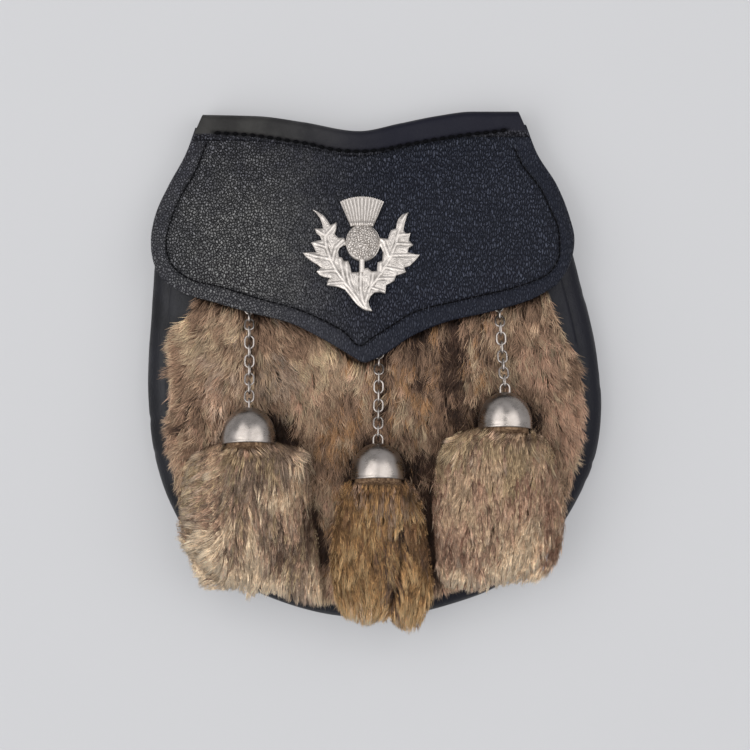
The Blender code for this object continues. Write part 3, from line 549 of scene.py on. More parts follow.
def nearest_of(line, places):
    """The number of the line's point nearest to each place, and how far away it is."""
    tree = kdtree.KDTree(len(line))
    for number, (x, y) in enumerate(line):
        tree.insert((x, y, 0), number)
    tree.balance()
    found = [tree.find((x, y, 0))[1:] for x, y in places]
    return np.array([f[0] for f in found]), np.array([f[1] for f in found])


def inside(across, down):
    """How far a place lies in from the front panel's rim, negative beyond it."""
    across, down = np.broadcast_arrays(np.asarray(across, float), np.asarray(down, float))
    places = np.stack([across.ravel(), down.ravel()], 1)
    nearest = nearest_of(EDGE, places)[0]
    away = places - EDGE[nearest]
    depth = np.sign((away * EDGE_INWARD[nearest]).sum(1)) * np.linalg.norm(away, axis=1)
    return (depth - RIM_INSET).reshape(across.shape)


def distance_to(line, x, y):
    """How far each place is from the nearest of a line's points."""
    return nearest_of(line, np.stack([x.ravel(), y.ravel()], 1))[1].reshape(x.shape)


def drop(across, down):
    """The distance down with the top edge's sag taken out, which fades away lower down."""
    return down - along(TOP_EDGE, across) * (1 - smoothstep(14, 70, down))


def front_height(across, down, overhang=False):
    """The front panel's outer face, or the level that what hangs over its rim keeps."""
    level = drop(across, down)
    reach = np.clip(inside(across, down), -RIM_INSET - 1, PILLOW)
    crown = along(DEPTH, level, 2) * (1 - (1 - reach / PILLOW) ** 2)
    fall = along(DEPTH, level, 4) * np.minimum(reach, 0) ** 2 * (OVERHANG_FALL if overhang else 1)
    return along(DEPTH, level, 1) + crown - fall


def flap_edge(across):
    """How far down the flap's lower edge is."""
    return along([*FLAP_LOWER_LEFT[:-1], *FLAP_LOWER_RIGHT], across)


def fur_height(across, down, overhang=False):
    """The top of the front's packed fur: pressed under the flap, dented under the domes."""
    full = smoothstep(0.5, 12, down - flap_edge(across))
    deep = FUR_PRESSED + (FUR_FULL - FUR_PRESSED) * full
    if not overhang:
        rounding = smoothstep(0, FUR_ROUND, inside(across, down))
        deep = np.minimum(deep, FUR_EDGE + (deep - FUR_EDGE) * rounding)
    for pendant in PENDANTS.values():
        x, rim = pendant["dome"]
        deep = deep - DENT_DEPTH * np.exp(-(((across - x) / 9) ** 2) - ((down - rim + 6) / 11) ** 2)
    return front_height(across, down, overhang) + GAP + deep


def flap_height(across, down):
    """The flap's outer face."""
    rise = along(DEPTH, drop(across, down), 3)
    return front_height(across, down) + rise + FLAP_THICK


def place(across, down, height):
    """Points of the tables' frame in the model's frame, still in millimetres."""
    across, down, height = np.broadcast_arrays(across, down, height)
    return np.stack([across, TOP_Y - down, height], -1).astype(float)


def surface_up(height_of, across, down):
    """The direction square to a height function's surface."""
    step = 2.0
    slope_x = (height_of(across + step, down) - height_of(across - step, down)) / (2 * step)
    slope_y = (height_of(across, down - step) - height_of(across, down + step)) / (2 * step)
    return Vector((-float(slope_x), -float(slope_y), 1.0)).normalized()


def frame_at(across, down, height, forward, up):
    """A matrix whose local Y runs forward and whose local Z leans to up."""
    y = Vector(forward).normalized()
    x = y.cross(Vector(up)).normalized()
    z = x.cross(y)
    matrix = Matrix((x, y, z)).transposed().to_4x4()
    matrix.translation = Vector(place(across, down, height).tolist())
    return np.array(matrix)


def laid_at(across, down, height, up):
    """A matrix whose local Z is square to the surface and whose local Y runs up the pouch."""
    return frame_at(across, down, height, up.cross(Vector((1, 0, 0))), up)


def moved(matrix, points):
    """Points after a matrix."""
    return np.asarray(points) @ matrix[:3, :3].T + matrix[:3, 3]


# ---------------------------------------------------------------- noise


def wander(x, y, size, seed):
    """Smooth random hills between about -1 and 1, with the given size in millimetres."""
    x, y = np.broadcast_arrays(np.asarray(x, float), np.asarray(y, float))
    total = np.zeros(x.shape)
    for octave in range(2):
        lattice = np.random.default_rng(seed + 31 * octave).uniform(-1, 1, (128, 128))
        u, v = x / size * 2**octave + 40.5, y / size * 2**octave + 40.5
        i, j = np.floor(u).astype(int), np.floor(v).astype(int)
        fu, fv = u - i, v - j
        fu, fv = fu * fu * (3 - 2 * fu), fv * fv * (3 - 2 * fv)
        i, j = i % 127, j % 127
        low = lattice[i, j] * (1 - fu) + lattice[i + 1, j] * fu
        high = lattice[i, j + 1] * (1 - fu) + lattice[i + 1, j + 1] * fu
        total += (low * (1 - fv) + high * fv) / 2**octave
    return total


def pebbles(x, y, size, seed):
    """Round grains between creases: 1 at a grain's middle, falling to 0 in the creases."""
    shift = np.random.default_rng(seed).uniform(0.1, 0.9, (256, 256, 2))
    u, v = x / size + 100, y / size + 100
    i, j = np.floor(u).astype(int), np.floor(v).astype(int)
    near = np.full(x.shape, 9.0)
    second = np.full(x.shape, 9.0)
    for di in (-1, 0, 1):
        for dj in (-1, 0, 1):
            at = shift[(i + di) % 256, (j + dj) % 256]
            away = np.hypot(i + di + at[..., 0] - u, j + dj + at[..., 1] - v)
            second = np.where(away < near, near, np.minimum(second, away))
            near = np.minimum(near, away)
    return smoothstep(0.0, 0.45, second - near)


# ---------------------------------------------------------------- meshes


def new_mesh(name, points, polygons, crease=None):
    """A smooth mesh through points in millimetres. polygons holds arrays of corners."""
    mesh = bpy.data.meshes.new(name)
    points = np.asarray(points, dtype=np.float64).reshape(-1, 3) * MM
    polygons = [np.atleast_2d(np.asarray(p, dtype=np.int32)) for p in polygons if len(p)]
    corners = np.concatenate([p.ravel() for p in polygons])
    sizes = np.concatenate([np.full(len(p), p.shape[1]) for p in polygons])
    mesh.vertices.add(len(points))
    mesh.vertices.foreach_set("co", points.astype(np.float32).ravel())
    mesh.loops.add(len(corners))
    mesh.loops.foreach_set("vertex_index", corners)
    mesh.polygons.add(len(sizes))
    mesh.polygons.foreach_set("loop_start", np.concatenate([[0], np.cumsum(sizes)[:-1]]))
    mesh.update(calc_edges=True)
    mesh.validate()
    mesh.shade_smooth()
    if crease:
        mesh.set_sharp_from_angle(angle=math.radians(crease))
    return mesh


def linked(name, data):
    """A new object in the scene."""
    made = bpy.data.objects.new(name, data)
    bpy.context.scene.collection.objects.link(made)
    return made


def add_piece(name, shape, look, nodes=(), crease=None, marks=None):
    """A piece of the object from points and polygons, which stands for the model's nodes of
    those names. marks are shares for its material to read, of the first points on."""
    mesh = new_mesh(name, *shape, crease)
    for mark, values in (marks or {}).items():
        shares = np.zeros(len(mesh.vertices), np.float32)
        shares[:values.size] = values.ravel()
        mesh.attributes.new(mark, "FLOAT", "POINT").data.foreach_set("value", shares)
    piece = linked(name, mesh)
    mesh.materials.append(look)
    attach(piece, "root")
    if nodes:
        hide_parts(*nodes)
    return piece


def grid_faces(rows, columns, offset=0, looped=False):
    """Quads between rows of points, counter-clockwise when rows run down and columns right."""
    i, j = np.meshgrid(np.arange(rows - 1), np.arange(columns if looped else columns - 1),
                       indexing="ij")
    k = (j + 1) % columns
    a, b = offset + i * columns + j, offset + i * columns + k
    return np.stack([a, a + columns, b + columns, b], -1).reshape(-1, 4)


def border_of(rows, columns):
    """The numbers of a grid's border points, clockwise as seen from above."""
    return np.concatenate([
        np.arange(columns),
        np.arange(1, rows) * columns + columns - 1,
        (rows - 1) * columns + np.arange(columns - 2, -1, -1),
        np.arange(rows - 2, 0, -1) * columns,
    ])


def ring_ends(count, sides):
    """The faces that close the first and the last of several rings of points."""
    j = np.arange(sides)
    return [j[None, :], (count - 1) * sides + j[None, ::-1]]


def slab(top, bottom):
    """A closed solid between two grids of the same shape, whose rows run down and whose
    columns run right."""
    rows, columns = top.shape[:2]
    count = rows * columns
    faces = grid_faces(rows, columns)
    under = grid_faces(rows, columns, count)[:, ::-1]
    border = border_of(rows, columns)
    after = np.roll(border, -1)
    wall = np.stack([border, after, after + count, border + count], 1)
    return np.concatenate([top.reshape(-1, 3), bottom.reshape(-1, 3)]), [faces, under, wall]


def lean_slab(top, bottom, step):
    """As slab, with an underside that keeps only every step-th row and column: its border ring
    is dense, and triangles lead in from that to the sparse grid."""
    rows, columns = top.shape[:2]
    count = rows * columns
    faces = grid_faces(rows, columns)
    border = border_of(rows, columns)
    dense = count + np.arange(len(border))
    after = np.roll(np.arange(len(border)), -1)
    wall = np.stack([border, border[after], dense[after], dense], 1)
    sparse_rows, sparse_columns = (rows - 1) // step + 1, (columns - 1) // step + 1
    take_row = np.linspace(2, rows - 3, sparse_rows).round().astype(int)
    take_column = np.linspace(2, columns - 3, sparse_columns).round().astype(int)
    inner = bottom[np.ix_(take_row, take_column)]
    start = count + len(border)
    under = grid_faces(sparse_rows, sparse_columns, start)[:, ::-1]
    loop = start + border_of(sparse_rows, sparse_columns)
    fans = []
    for number in range(len(loop)):
        here, there = loop[number], loop[(number + 1) % len(loop)]
        for k in range(step):
            a = (number * step + k) % len(border)
            fans.append((dense[a], dense[(a + 1) % len(border)], here if k < step // 2 else there))
        middle = (number * step + step // 2) % len(border)
        fans.append((here, dense[middle], there))
    points = np.concatenate([top.reshape(-1, 3), bottom.reshape(-1, 3)[border],
                             inner.reshape(-1, 3)])
    return points, [faces, under, wall, np.array(fans)]


def joined(parts):
    """Several (points, polygons) as one."""
    points, polygons, offset = [], [], 0
    for some, faces in parts:
        points.append(np.asarray(some).reshape(-1, 3))
        polygons += [np.atleast_2d(f) + offset for f in faces]
        offset += len(points[-1])
    return np.concatenate(points), polygons


def lathe(profile, sides):
    """A closed surface turned round Y from (radius, along) rows that start and end on it."""
    turn = full_turn(sides)
    rings = [
        np.stack([r * np.sin(turn), np.full(sides, z), r * np.cos(turn)], 1)
        for r, z in profile[1:-1]
    ]
    points = np.concatenate([*rings, [(0, profile[0][1], 0), (0, profile[-1][1], 0)]])
    body = grid_faces(len(rings), sides, looped=True)
    j = np.arange(sides)
    k = (j + 1) % sides
    first, last = len(points) - 2, len(points) - 1
    cap = np.stack([np.full(sides, first), j, k], 1)
    foot = (len(rings) - 1) * sides
    end = np.stack([np.full(sides, last), foot + k, foot + j], 1)
    return points, [body, cap, end]


def tube(path, radius, sides, looped=False):
    """A round wire along a path. An open one has a flat face at both ends."""
    path = np.array(path, dtype=float)
    if looped:
        ahead = unit(np.roll(path, -1, 0) - np.roll(path, 1, 0))
    else:
        ahead = unit(np.gradient(path, axis=0))
    side = unit(np.cross(ahead, (0, 0, 1)))
    over = np.cross(side, ahead)
    turn = full_turn(sides)
    radius = np.broadcast_to(radius, len(path))[:, None, None]
    rings = path[:, None] + radius * (
        np.cos(turn)[None, :, None] * side[:, None] + np.sin(turn)[None, :, None] * over[:, None]
    )
    count = len(path)
    if looped:
        faces = [grid_faces(count + 1, sides, looped=True) % (count * sides)]
    else:
        faces = [grid_faces(count, sides, looped=True), *ring_ends(count, sides)]
    return rings.reshape(-1, 3), faces


def stitches(line, pitch, length, radius, height_of):
    """Thread along a seam: one short rounded stitch after another."""
    count = int(run_along(np.array(line))[-1] / pitch)
    middle = curve_at(line, (np.arange(count) + 0.5) / count)
    ahead = unit(np.gradient(middle, axis=0))
    along_it = np.linspace(-0.5, 0.5, 7)
    swell = np.sqrt(1 - (2 * along_it) ** 2 * 0.94)
    parts = []
    for (x, y), (ax, ay) in zip(middle, ahead):
        px, py = x + ax * length * along_it, y + ay * length * along_it
        z = height_of(px, py) + radius * (0.2 + 0.5 * swell)
        parts.append(tube(place(px, py, z), radius * swell, 7))
    return joined(parts)


# ---------------------------------------------------------------- materials


def linear(colour):
    """A colour of 0-255 as the shader's linear values, opaque."""
    share = np.array(colour, dtype=float) / 255
    return (*np.where(share <= 0.04045, share / 12.92, ((share + 0.055) / 1.055) ** 2.4), 1.0)


class Looks:
    """A new material and short ways to add nodes to it."""

    def __init__(self, name, roughness=0.5, metallic=0.0, level=0.5):
        self.material = bpy.data.materials.new(name)
        self.material.use_nodes = True
        self.tree = self.material.node_tree
        self.shader = self.tree.nodes["Principled BSDF"]
        self.into(roughness, "Roughness")
        self.into(metallic, "Metallic")
        self.into(level, "Specular IOR Level")

    def give(self, value, socket):
        """Joins a node's output to a socket, or sets the socket to a number or colour."""
        if isinstance(value, bpy.types.NodeSocket):
            self.tree.links.new(value, socket)
        else:
            socket.default_value = value

    def node(self, kind, inputs, **settings):
        """A new node with the given settings, and values or outputs for its inputs."""
        made = self.tree.nodes.new(kind)
        for key, value in settings.items():
            setattr(made, key, value)
        for name, value in inputs.items():
            self.give(value, made.inputs[name])
        return made

    def into(self, value, name):
        """Joins or sets one of the shader's inputs."""
        self.give(value, self.shader.inputs[name])

    def coordinates(self, scale=(1, 1, 1)):
        """Places in the model's frame, in millimetres, stretched by the given scale."""
        where = self.node("ShaderNodeTexCoord", {}).outputs["Object"]
        inputs = {"Vector": where, "Scale": [s / MM for s in scale]}
        return self.node("ShaderNodeMapping", inputs).outputs["Vector"]

    def parts(self, where):
        """A place's X, Y and Z."""
        return self.node("ShaderNodeSeparateXYZ", {0: where}).outputs

    def mark(self, name):
        """The share of that name that the piece's points carry."""
        return self.node("ShaderNodeAttribute", {}, attribute_name=name).outputs["Fac"]

    def noise(self, where, size, detail):
        """Soft random patches of that size in millimetres, about 0.5 on average."""
        inputs = {"Vector": where, "Scale": 1 / size, "Detail": detail, "Roughness": 0.55}
        return self.node("ShaderNodeTexNoise", inputs).outputs["Fac"]

    def cells(self, where, size, dimensions="3D"):
        """How far in from its edge a place is in a pattern of random cells."""
        made = self.node("ShaderNodeTexVoronoi", {"Vector": where, "Scale": 1 / size},
                         feature="DISTANCE_TO_EDGE", voronoi_dimensions=dimensions)
        return made.outputs["Distance"]

    def spread(self, value, low, high, to_low=0.0, to_high=1.0, kind="SMOOTHSTEP"):
        """Takes a value's range from low to high to another one, held at both ends."""
        inputs = {"Value": value, "From Min": low, "From Max": high,
                  "To Min": to_low, "To Max": to_high}
        return self.node("ShaderNodeMapRange", inputs, interpolation_type=kind).outputs["Result"]

    def sums(self, operation, first, second=0.0):
        return self.node("ShaderNodeMath", {0: first, 1: second}, operation=operation).outputs[0]

    def plus(self, first, second):
        return self.sums("ADD", first, second)

    def times(self, first, second):
        return self.sums("MULTIPLY", first, second)

    def rest(self, share):
        """What a share leaves of 1."""
        return self.sums("SUBTRACT", 1.0, share)

    def mixed(self, share, *colours):
        """Two colours mixed, each of 0-255 or a node's output."""
        first, second = (linear(c) if isinstance(c, tuple) else c for c in colours)
        inputs = {0: share, 6: first, 7: second}
        return self.node("ShaderNodeMix", inputs, data_type="RGBA").outputs[2]

    def bump(self, height, deep):
        """Relief of the surface, deep millimetres for a height of 1."""
        inputs = {"Height": height, "Strength": 1.0, "Distance": deep * MM}
        return self.node("ShaderNodeBump", inputs).outputs["Normal"]

    def grains(self, stretch, size):
        """Leather's grains, 0 in the creases between them and 1 on top. The smaller the
        stretch, the longer they are up the pouch."""
        where = self.coordinates((1.0, stretch, 1.0))
        warp = self.node("ShaderNodeTexNoise", {"Vector": where, "Scale": 0.7, "Detail": 2.0})
        inputs = {0: warp.outputs["Color"], 1: (1.5, 1.5, 1.5), 2: where}
        bent = self.node("ShaderNodeVectorMath", inputs, operation="MULTIPLY_ADD").outputs[0]
        top = self.spread(self.cells(bent, size, "2D"), 0.01, 0.27)
        speck = self.spread(self.noise(where, 0.9 * size, 1.0), 0.32, 0.68, 0.30, 1.0)
        return self.times(top, speck)

    def pebbled(self):
        """Leather's grains, round at the left and long at the right."""
        side = self.spread(self.parts(self.coordinates())["X"], -62, 8)
        round_ones = self.times(self.grains(0.85, 1.15), self.rest(side))
        return self.plus(round_ones, self.times(self.grains(0.40, 0.98), side))


def grained_look():
    """Pebbled leather: small grains between matt creases, with a painted sheen that makes it paler
    at the lower left, and bluer to the right. The seam line is dark and the border outside it
    smoother."""
    looks = Looks("pebbled_leather", level=0.13)
    grain, where = looks.pebbled(), looks.parts(looks.coordinates())
    across, down = looks.plus(where["X"], 57.0), looks.sums("SUBTRACT", 49.0, where["Y"])
    away = looks.sums("SQRT", looks.plus(looks.times(across, across), looks.times(down, down)))
    patches = looks.noise(looks.coordinates(), 8, 3.0)
    # Painted sheen: the grain's tops get paler round the lower left, in patches.
    painted_sheen = looks.plus(looks.spread(away, 8, 60, 0.85, 0.08),
                      looks.spread(patches, 0.3, 0.7, -0.28, 0.28, "LINEAR"))
    side = looks.spread(where["X"], -50, 20)
    border = looks.times(looks.mark("border"), looks.spread(where["X"], -60, 0, 0.25, 0.6))
    pale_share = looks.spread(painted_sheen, 0.0, 1.0, kind="LINEAR")
    pale = looks.mixed(side, looks.mixed(pale_share, (75, 75, 82), (126, 125, 123)), (54, 57, 68))
    dark = looks.mixed(side, (8, 8, 10), (6, 8, 17))
    smooth = looks.mixed(side, (45, 45, 51), (14, 17, 27))
    # The grain's pale tops against its dark creases: partly the leather's own grain, partly painted
    # highlight.
    colour = looks.mixed(looks.sums("POWER", grain, 1.4), dark, pale)
    colour = looks.mixed(border, colour, smooth)
    looks.into(looks.mixed(looks.mark("seam"), colour, (2, 2, 5)), "Base Color")
    looks.into(looks.spread(grain, 0.1, 0.9, 0.58, 0.34), "Roughness")
    calm = looks.rest(looks.times(border, 0.7))
    looks.into(looks.bump(looks.times(grain, calm), 0.6), "Normal")
    return looks.material


def smooth_look(name, dark, pale, cool, roughness, level=0.25):
    """Smooth leather: fine pores, faint creases and soft rubbed patches, cooler to the right,
    black along a seam and pebbled where the mark of that name says so."""
    looks = Looks(name, level=level)
    where = looks.coordinates()
    pores, patches = looks.noise(where, 0.55, 3.0), looks.noise(where, 13, 4.0)
    creases = looks.cells(looks.coordinates((1.0, 0.55, 1.0)), 2.6)
    pale_share = looks.spread(patches, 0.35, 0.72)
    side = looks.spread(looks.parts(where)["X"], -62, 16)
    colour = looks.mixed(side, looks.mixed(pale_share, dark, pale), cool)
    grain, pebbled, seam = looks.pebbled(), looks.mark("pebbled"), looks.mark("seam")
    # As on the flap, the grain's pale tops are partly painted highlight.
    rough = looks.mixed(looks.sums("POWER", grain, 1.8), (10, 10, 14), (70, 70, 76))
    colour = looks.mixed(pebbled, colour, rough)
    looks.into(looks.mixed(seam, colour, (2, 2, 4)), "Base Color")
    dull = looks.plus(looks.spread(patches, 0.3, 0.75, roughness + 0.08, roughness - 0.06),
                      looks.spread(pores, 0.3, 0.7, -0.05, 0.05))
    looks.into(looks.plus(dull, looks.times(seam, 0.4)), "Roughness")
    height = looks.plus(looks.times(looks.spread(creases, 0.0, 0.12), 0.35), pores)
    height = looks.plus(height, looks.times(pebbled, looks.times(grain, 2.0)))
    looks.into(looks.bump(height, 0.12), "Normal")
    return looks.material


def thread_look():
    """Waxed black thread: two plies twisted together."""
    looks = Looks("waxed_thread", 0.85, level=0.06)
    plies = looks.node("ShaderNodeTexWave", {"Vector": looks.coordinates(), "Scale": 0.9},
                       wave_type="BANDS", bands_direction="DIAGONAL").outputs["Fac"]
    looks.into(looks.mixed(plies, (2, 2, 3), (7, 7, 9)), "Base Color")
    looks.into(looks.bump(plies, 0.08), "Normal")
    return looks.material


def nickel_look():
    """Nickel plate with faint haze and wipe marks."""
    looks = Looks("polished_nickel", metallic=1.0)
    haze = looks.noise(looks.coordinates(), 5.0, 3.0)
    wipes = looks.noise(looks.coordinates((0.4, 1.8, 0.4)), 0.9, 2.0)
    colour = looks.mixed(looks.spread(haze, 0.3, 0.7), (137, 130, 124), (160, 152, 146))
    looks.into(colour, "Base Color")
    rough = looks.plus(looks.spread(haze, 0.3, 0.7, 0.24, 0.34),
                       looks.spread(wipes, 0.35, 0.65, -0.02, 0.04))
    looks.into(rough, "Roughness")
    looks.into(looks.bump(wipes, 0.004), "Normal")
    return looks.material


def pewter_look():
    """Cast pewter with painted shade and highlight: grey in the hollows, bright on the high parts.
    """
    looks = Looks("cast_pewter", metallic=0.75)
    relief, speck = looks.mark("relief"), looks.noise(looks.coordinates(), 0.5, 3.0)
    colour = looks.mixed(looks.spread(relief, 0.0, 0.85), (76, 71, 66), (194, 187, 180))
    colour = looks.mixed(looks.spread(speck, 0.3, 0.7, 0.0, 0.45), colour, (156, 149, 143))
    looks.into(colour, "Base Color")
    looks.into(looks.spread(relief, 0.1, 0.8, 0.56, 0.38), "Roughness")
    looks.into(looks.bump(speck, 0.05), "Normal")
    return looks.material


def stepped(looks, value, colours):
    """One of the colours for each step of value from 0 to 1."""
    ramp = looks.node("ShaderNodeValToRGB", {0: value})
    ramp.color_ramp.interpolation = "CONSTANT"
    stops = ramp.color_ramp.elements
    stops[0].color = colours[0]
    stops[1].position = 1 / len(colours)
    stops[1].color = colours[1]
    for number in range(2, len(colours)):
        stops.new(number / len(colours)).color = colours[number]
    return ramp.outputs["Color"]


def hair_look():
    """Hair, dark at the root and pale at the tip: partly the hair's own banding, partly painted
    shade deep in the fur. The strands' own map gives the colour and its brightness across, and the
    place along the hair upwards."""
    looks = Looks("rabbit_hair", 0.62, level=0.2)
    strand = looks.parts(looks.node("ShaderNodeUVMap", {}, uv_map="Strand").outputs["UV"])
    across, up = strand["X"], strand["Y"]
    root, middle, tip = (
        stepped(looks, across, [linear(PELT[name][part]) for name in SHADES]) for part in range(3)
    )
    colour = looks.mixed(looks.spread(up, 0.05, 0.45), root, middle)
    colour = looks.mixed(looks.spread(up, 0.5, 0.95), colour, tip)
    level = looks.sums("FRACT", looks.times(across, float(len(SHADES))))
    inputs = {0: colour, "Scale": looks.spread(level, 0.0, 1.0, *PELT_GAINS, "LINEAR")}
    scaled = looks.node("ShaderNodeVectorMath", inputs, operation="SCALE")
    looks.into(scaled.outputs[0], "Base Color")
    return looks.material


def underfur_look(name, dark, pale):
    """The dense under-wool below the hairs, with streaks down the pouch."""
    looks = Looks(name, 0.9, level=0.1)
    streaks = looks.noise(looks.coordinates((1.0, 0.22, 1.0)), 1.1, 4.0)
    patches = looks.noise(looks.coordinates(), 9.0, 2.0)
    share = looks.times(looks.spread(streaks, 0.35, 0.7), looks.spread(patches, 0.3, 0.7, 0.5, 1.0))
    looks.into(looks.mixed(share, dark, pale), "Base Color")
    looks.into(looks.bump(streaks, 0.6), "Normal")
    return looks.material


# ---------------------------------------------------------------- leather pieces


def clustered(count, length):
    """Shares of a length with extra rows close to both ends."""
    near = np.array(EDGE_ROWS) / length
    middle = np.linspace(near[-1], 1 - near[-1], count - 2 * len(near) + 2)
    return np.concatenate([near[:-1], middle, 1 - near[:-1][::-1]])


def roll(away, radius):
    """How far a rounded edge falls at a distance in from it."""
    t = np.clip(1 - away / radius, 0, 1)
    return radius * (1 - np.sqrt(1 - t * t))


def flap_places(columns, rows):
    """Places over the flap, blended between its four edges, with its point rounded off."""
    half = columns // 2 + 1
    shares = clustered(columns, FLAP_WIDE)
    lower = np.concatenate([curve_at(FLAP_LOWER_LEFT, shares[:half] * 2)[:-1],
                            curve_at(FLAP_LOWER_RIGHT, np.clip(shares[half - 1:] * 2 - 1, 0, 1))])
    reach = 7
    kernel = np.hanning(2 * reach + 3)[1:-1]
    kernel /= kernel.sum()
    padded = np.pad(lower, ((reach, reach), (0, 0)), mode="edge")
    soft = np.stack([np.convolve(padded[:, a], kernel, mode="valid") for a in (0, 1)], 1)
    tip = np.exp(-(((lower[:, 0] - FLAP_LOWER_RIGHT[0][0]) / 8) ** 2))[:, None]
    lower = lower * (1 - tip) + soft * tip
    fall = clustered(rows, FLAP_LONG)
    left, right = curve_at(FLAP_LEFT, fall), curve_at(FLAP_RIGHT, fall)
    share = (lower[:, 0] - lower[0, 0]) / (lower[-1, 0] - lower[0, 0])
    across = left[0, 0] + (right[0, 0] - left[0, 0]) * share
    upper = np.stack([across, along(TOP_EDGE, across) + 6.0], 1)
    upper[0], upper[-1] = left[0], right[0]
    u, v = share[None, :, None], fall[:, None, None]
    sides = left[:, None] * (1 - u) + right[:, None] * u
    ends = upper[None] * (1 - v) + lower[None] * v
    corners = (1 - v) * ((1 - u) * left[0] + u * right[0]) + v * ((1 - u) * left[-1] + u * right[-1])
    grid = sides + ends - corners
    return grid[..., 0], grid[..., 1]


def seam_distance(line, x, y):
    """The distance from each place to a seam's line."""
    return distance_to(smooth_curve(line, FINE), x, y)


def flap_relief(x, y, away, seam):
    """What the flap's outer face has besides its main curve: soft waves, a seam pulled down,
    a slightly fuller border outside it, and the grain's larger pebbles."""
    waves = 0.35 * wander(x, y, 34, 5) + 0.12 * wander(x, y, 9, 8)
    groove = -GROOVE_DEEP * np.exp(-((seam / GROOVE_WIDE) ** 2))
    quilt = -0.4 * np.exp(-seam / 3.0)
    grain = 0.14 * (pebbles(x, y * 0.8, 1.9, 3) - 0.5) * smoothstep(0.5, 2.0, away)
    return waves * smoothstep(0, 10, away) + groove + quilt + grain


def build_flap(look, thread):
    """The flap's grained leather, with its rounded edge and the seam beside it."""
    x, y = flap_places(361, 181)
    open_edge = [np.stack([x[part], y[part]], 1) for part in (np.s_[:, 0], np.s_[-1], np.s_[:, -1])]
    away = distance_to(np.concatenate(open_edge), x, y)
    seam = seam_distance(FLAP_SEAM, x, y)
    face = flap_height(x, y)
    top = face + flap_relief(x, y, away, seam) - roll(away, 1.1)
    under = face - FLAP_THICK + roll(away, 0.8) * 0.8
    marks = {
        "seam": 0.7 * np.exp(-((seam / 0.8) ** 2)),
        "border": 1 - smoothstep(BORDER_WIDE - 1.5, BORDER_WIDE + 1.0, away),
    }
    add_piece("flap_leather", lean_slab(place(x, y, top), place(x, y, under), 6), look,
              ["flap"], marks=marks)

    def seat(px, py):
        return flap_height(px, py) + 0.35 * wander(px, py, 34, 5) - GROOVE_DEEP - 0.6

    add_piece("flap_stitching", stitches(FLAP_SEAM, 2.7, 2.5, 0.34, seat), thread)


def squared(value):
    """Takes a circle's sine or cosine to that of a rounded square."""
    return math.copysign(abs(value) ** 0.6, value)


def strip_section():
    """The folded strip's outer face from its lower edge at the back, over the fold and down to
    its lower edge at the front: reach, height."""
    half = STRIP_DEPTH / 2
    turn = np.linspace(-math.pi / 2, math.pi / 2, 25)
    fold = [(STRIP_FOLD * (1 - squared(math.cos(a))), half + half * squared(math.sin(a)))
            for a in turn]
    leaf = np.linspace(STRIP_FOLD, STRIP_HEIGHT, 21)[1:]
    back = [(reach, 0.0) for reach in np.linspace(STRIP_HEIGHT, STRIP_FOLD, 7)[:-1]]
    return np.array([*back, *fold, *[(reach, STRIP_DEPTH) for reach in leaf]])


def build_strip(look, thread):
    """The leather strip folded over the pouch's top edge, with its seam."""
    section = strip_section()
    reach, height = section[:, 0], section[:, 1]
    tangent = unit(np.gradient(section, axis=0))
    inward = np.stack([tangent[:, 1], -tangent[:, 0]], 1)
    share = clustered(121, STRIP_WIDE)

    def surface(offset):
        rows = []
        for r, z, (in_r, in_z) in zip(reach, height, inward):
            r = r + in_r * offset
            across = STRIP_LEFT - STRIP_SLANT * r + (STRIP_SPAN + 2 * STRIP_SLANT * r) * share
            rows.append(place(across, along(TOP_EDGE, across) + r, z + in_z * offset))
        return np.array(rows)

    outer, inner = surface(0.0), surface(STRIP_THICK)
    across, down = outer[..., 0], TOP_Y - outer[..., 1]
    front = smoothstep(STRIP_DEPTH - 1.0, STRIP_DEPTH, outer[..., 2])
    seam = seam_distance(STRIP_SEAM, across, down)
    below = (down - along(STRIP_SEAM, across)) * front
    lower = STRIP_HEIGHT - reach[:, None]
    end = np.minimum(across - across.min(1)[:, None], across.max(1)[:, None] - across)
    outer[..., 2] += front * (
        -0.25 * np.exp(-seam / 1.6) - 0.40 * np.exp(-((seam / 1.1) ** 2))
        + 0.10 * wander(across, down, 11, 17)
    )
    outer[..., 2] -= front * roll(np.minimum(lower, end), 0.8)
    thin = 1.4 * smoothstep(0.6, 2.8, below)
    outer[..., 2] -= thin
    inner[..., 2] -= thin
    marks = {"seam": (0.9 * np.exp(-((seam / 0.85) ** 2)) * front)[::-1],
             "pebbled": smoothstep(0.0, 0.9, below)[::-1]}
    add_piece("strip_leather", slab(outer[::-1], inner[::-1]), look,
              ["top_strip"], 60, marks)

    def seat(px, _):
        return np.full(np.shape(px), STRIP_DEPTH - 0.45)

    add_piece("strip_stitching", stitches(STRIP_SEAM, 3.8, 2.4, 0.85, seat), thread)


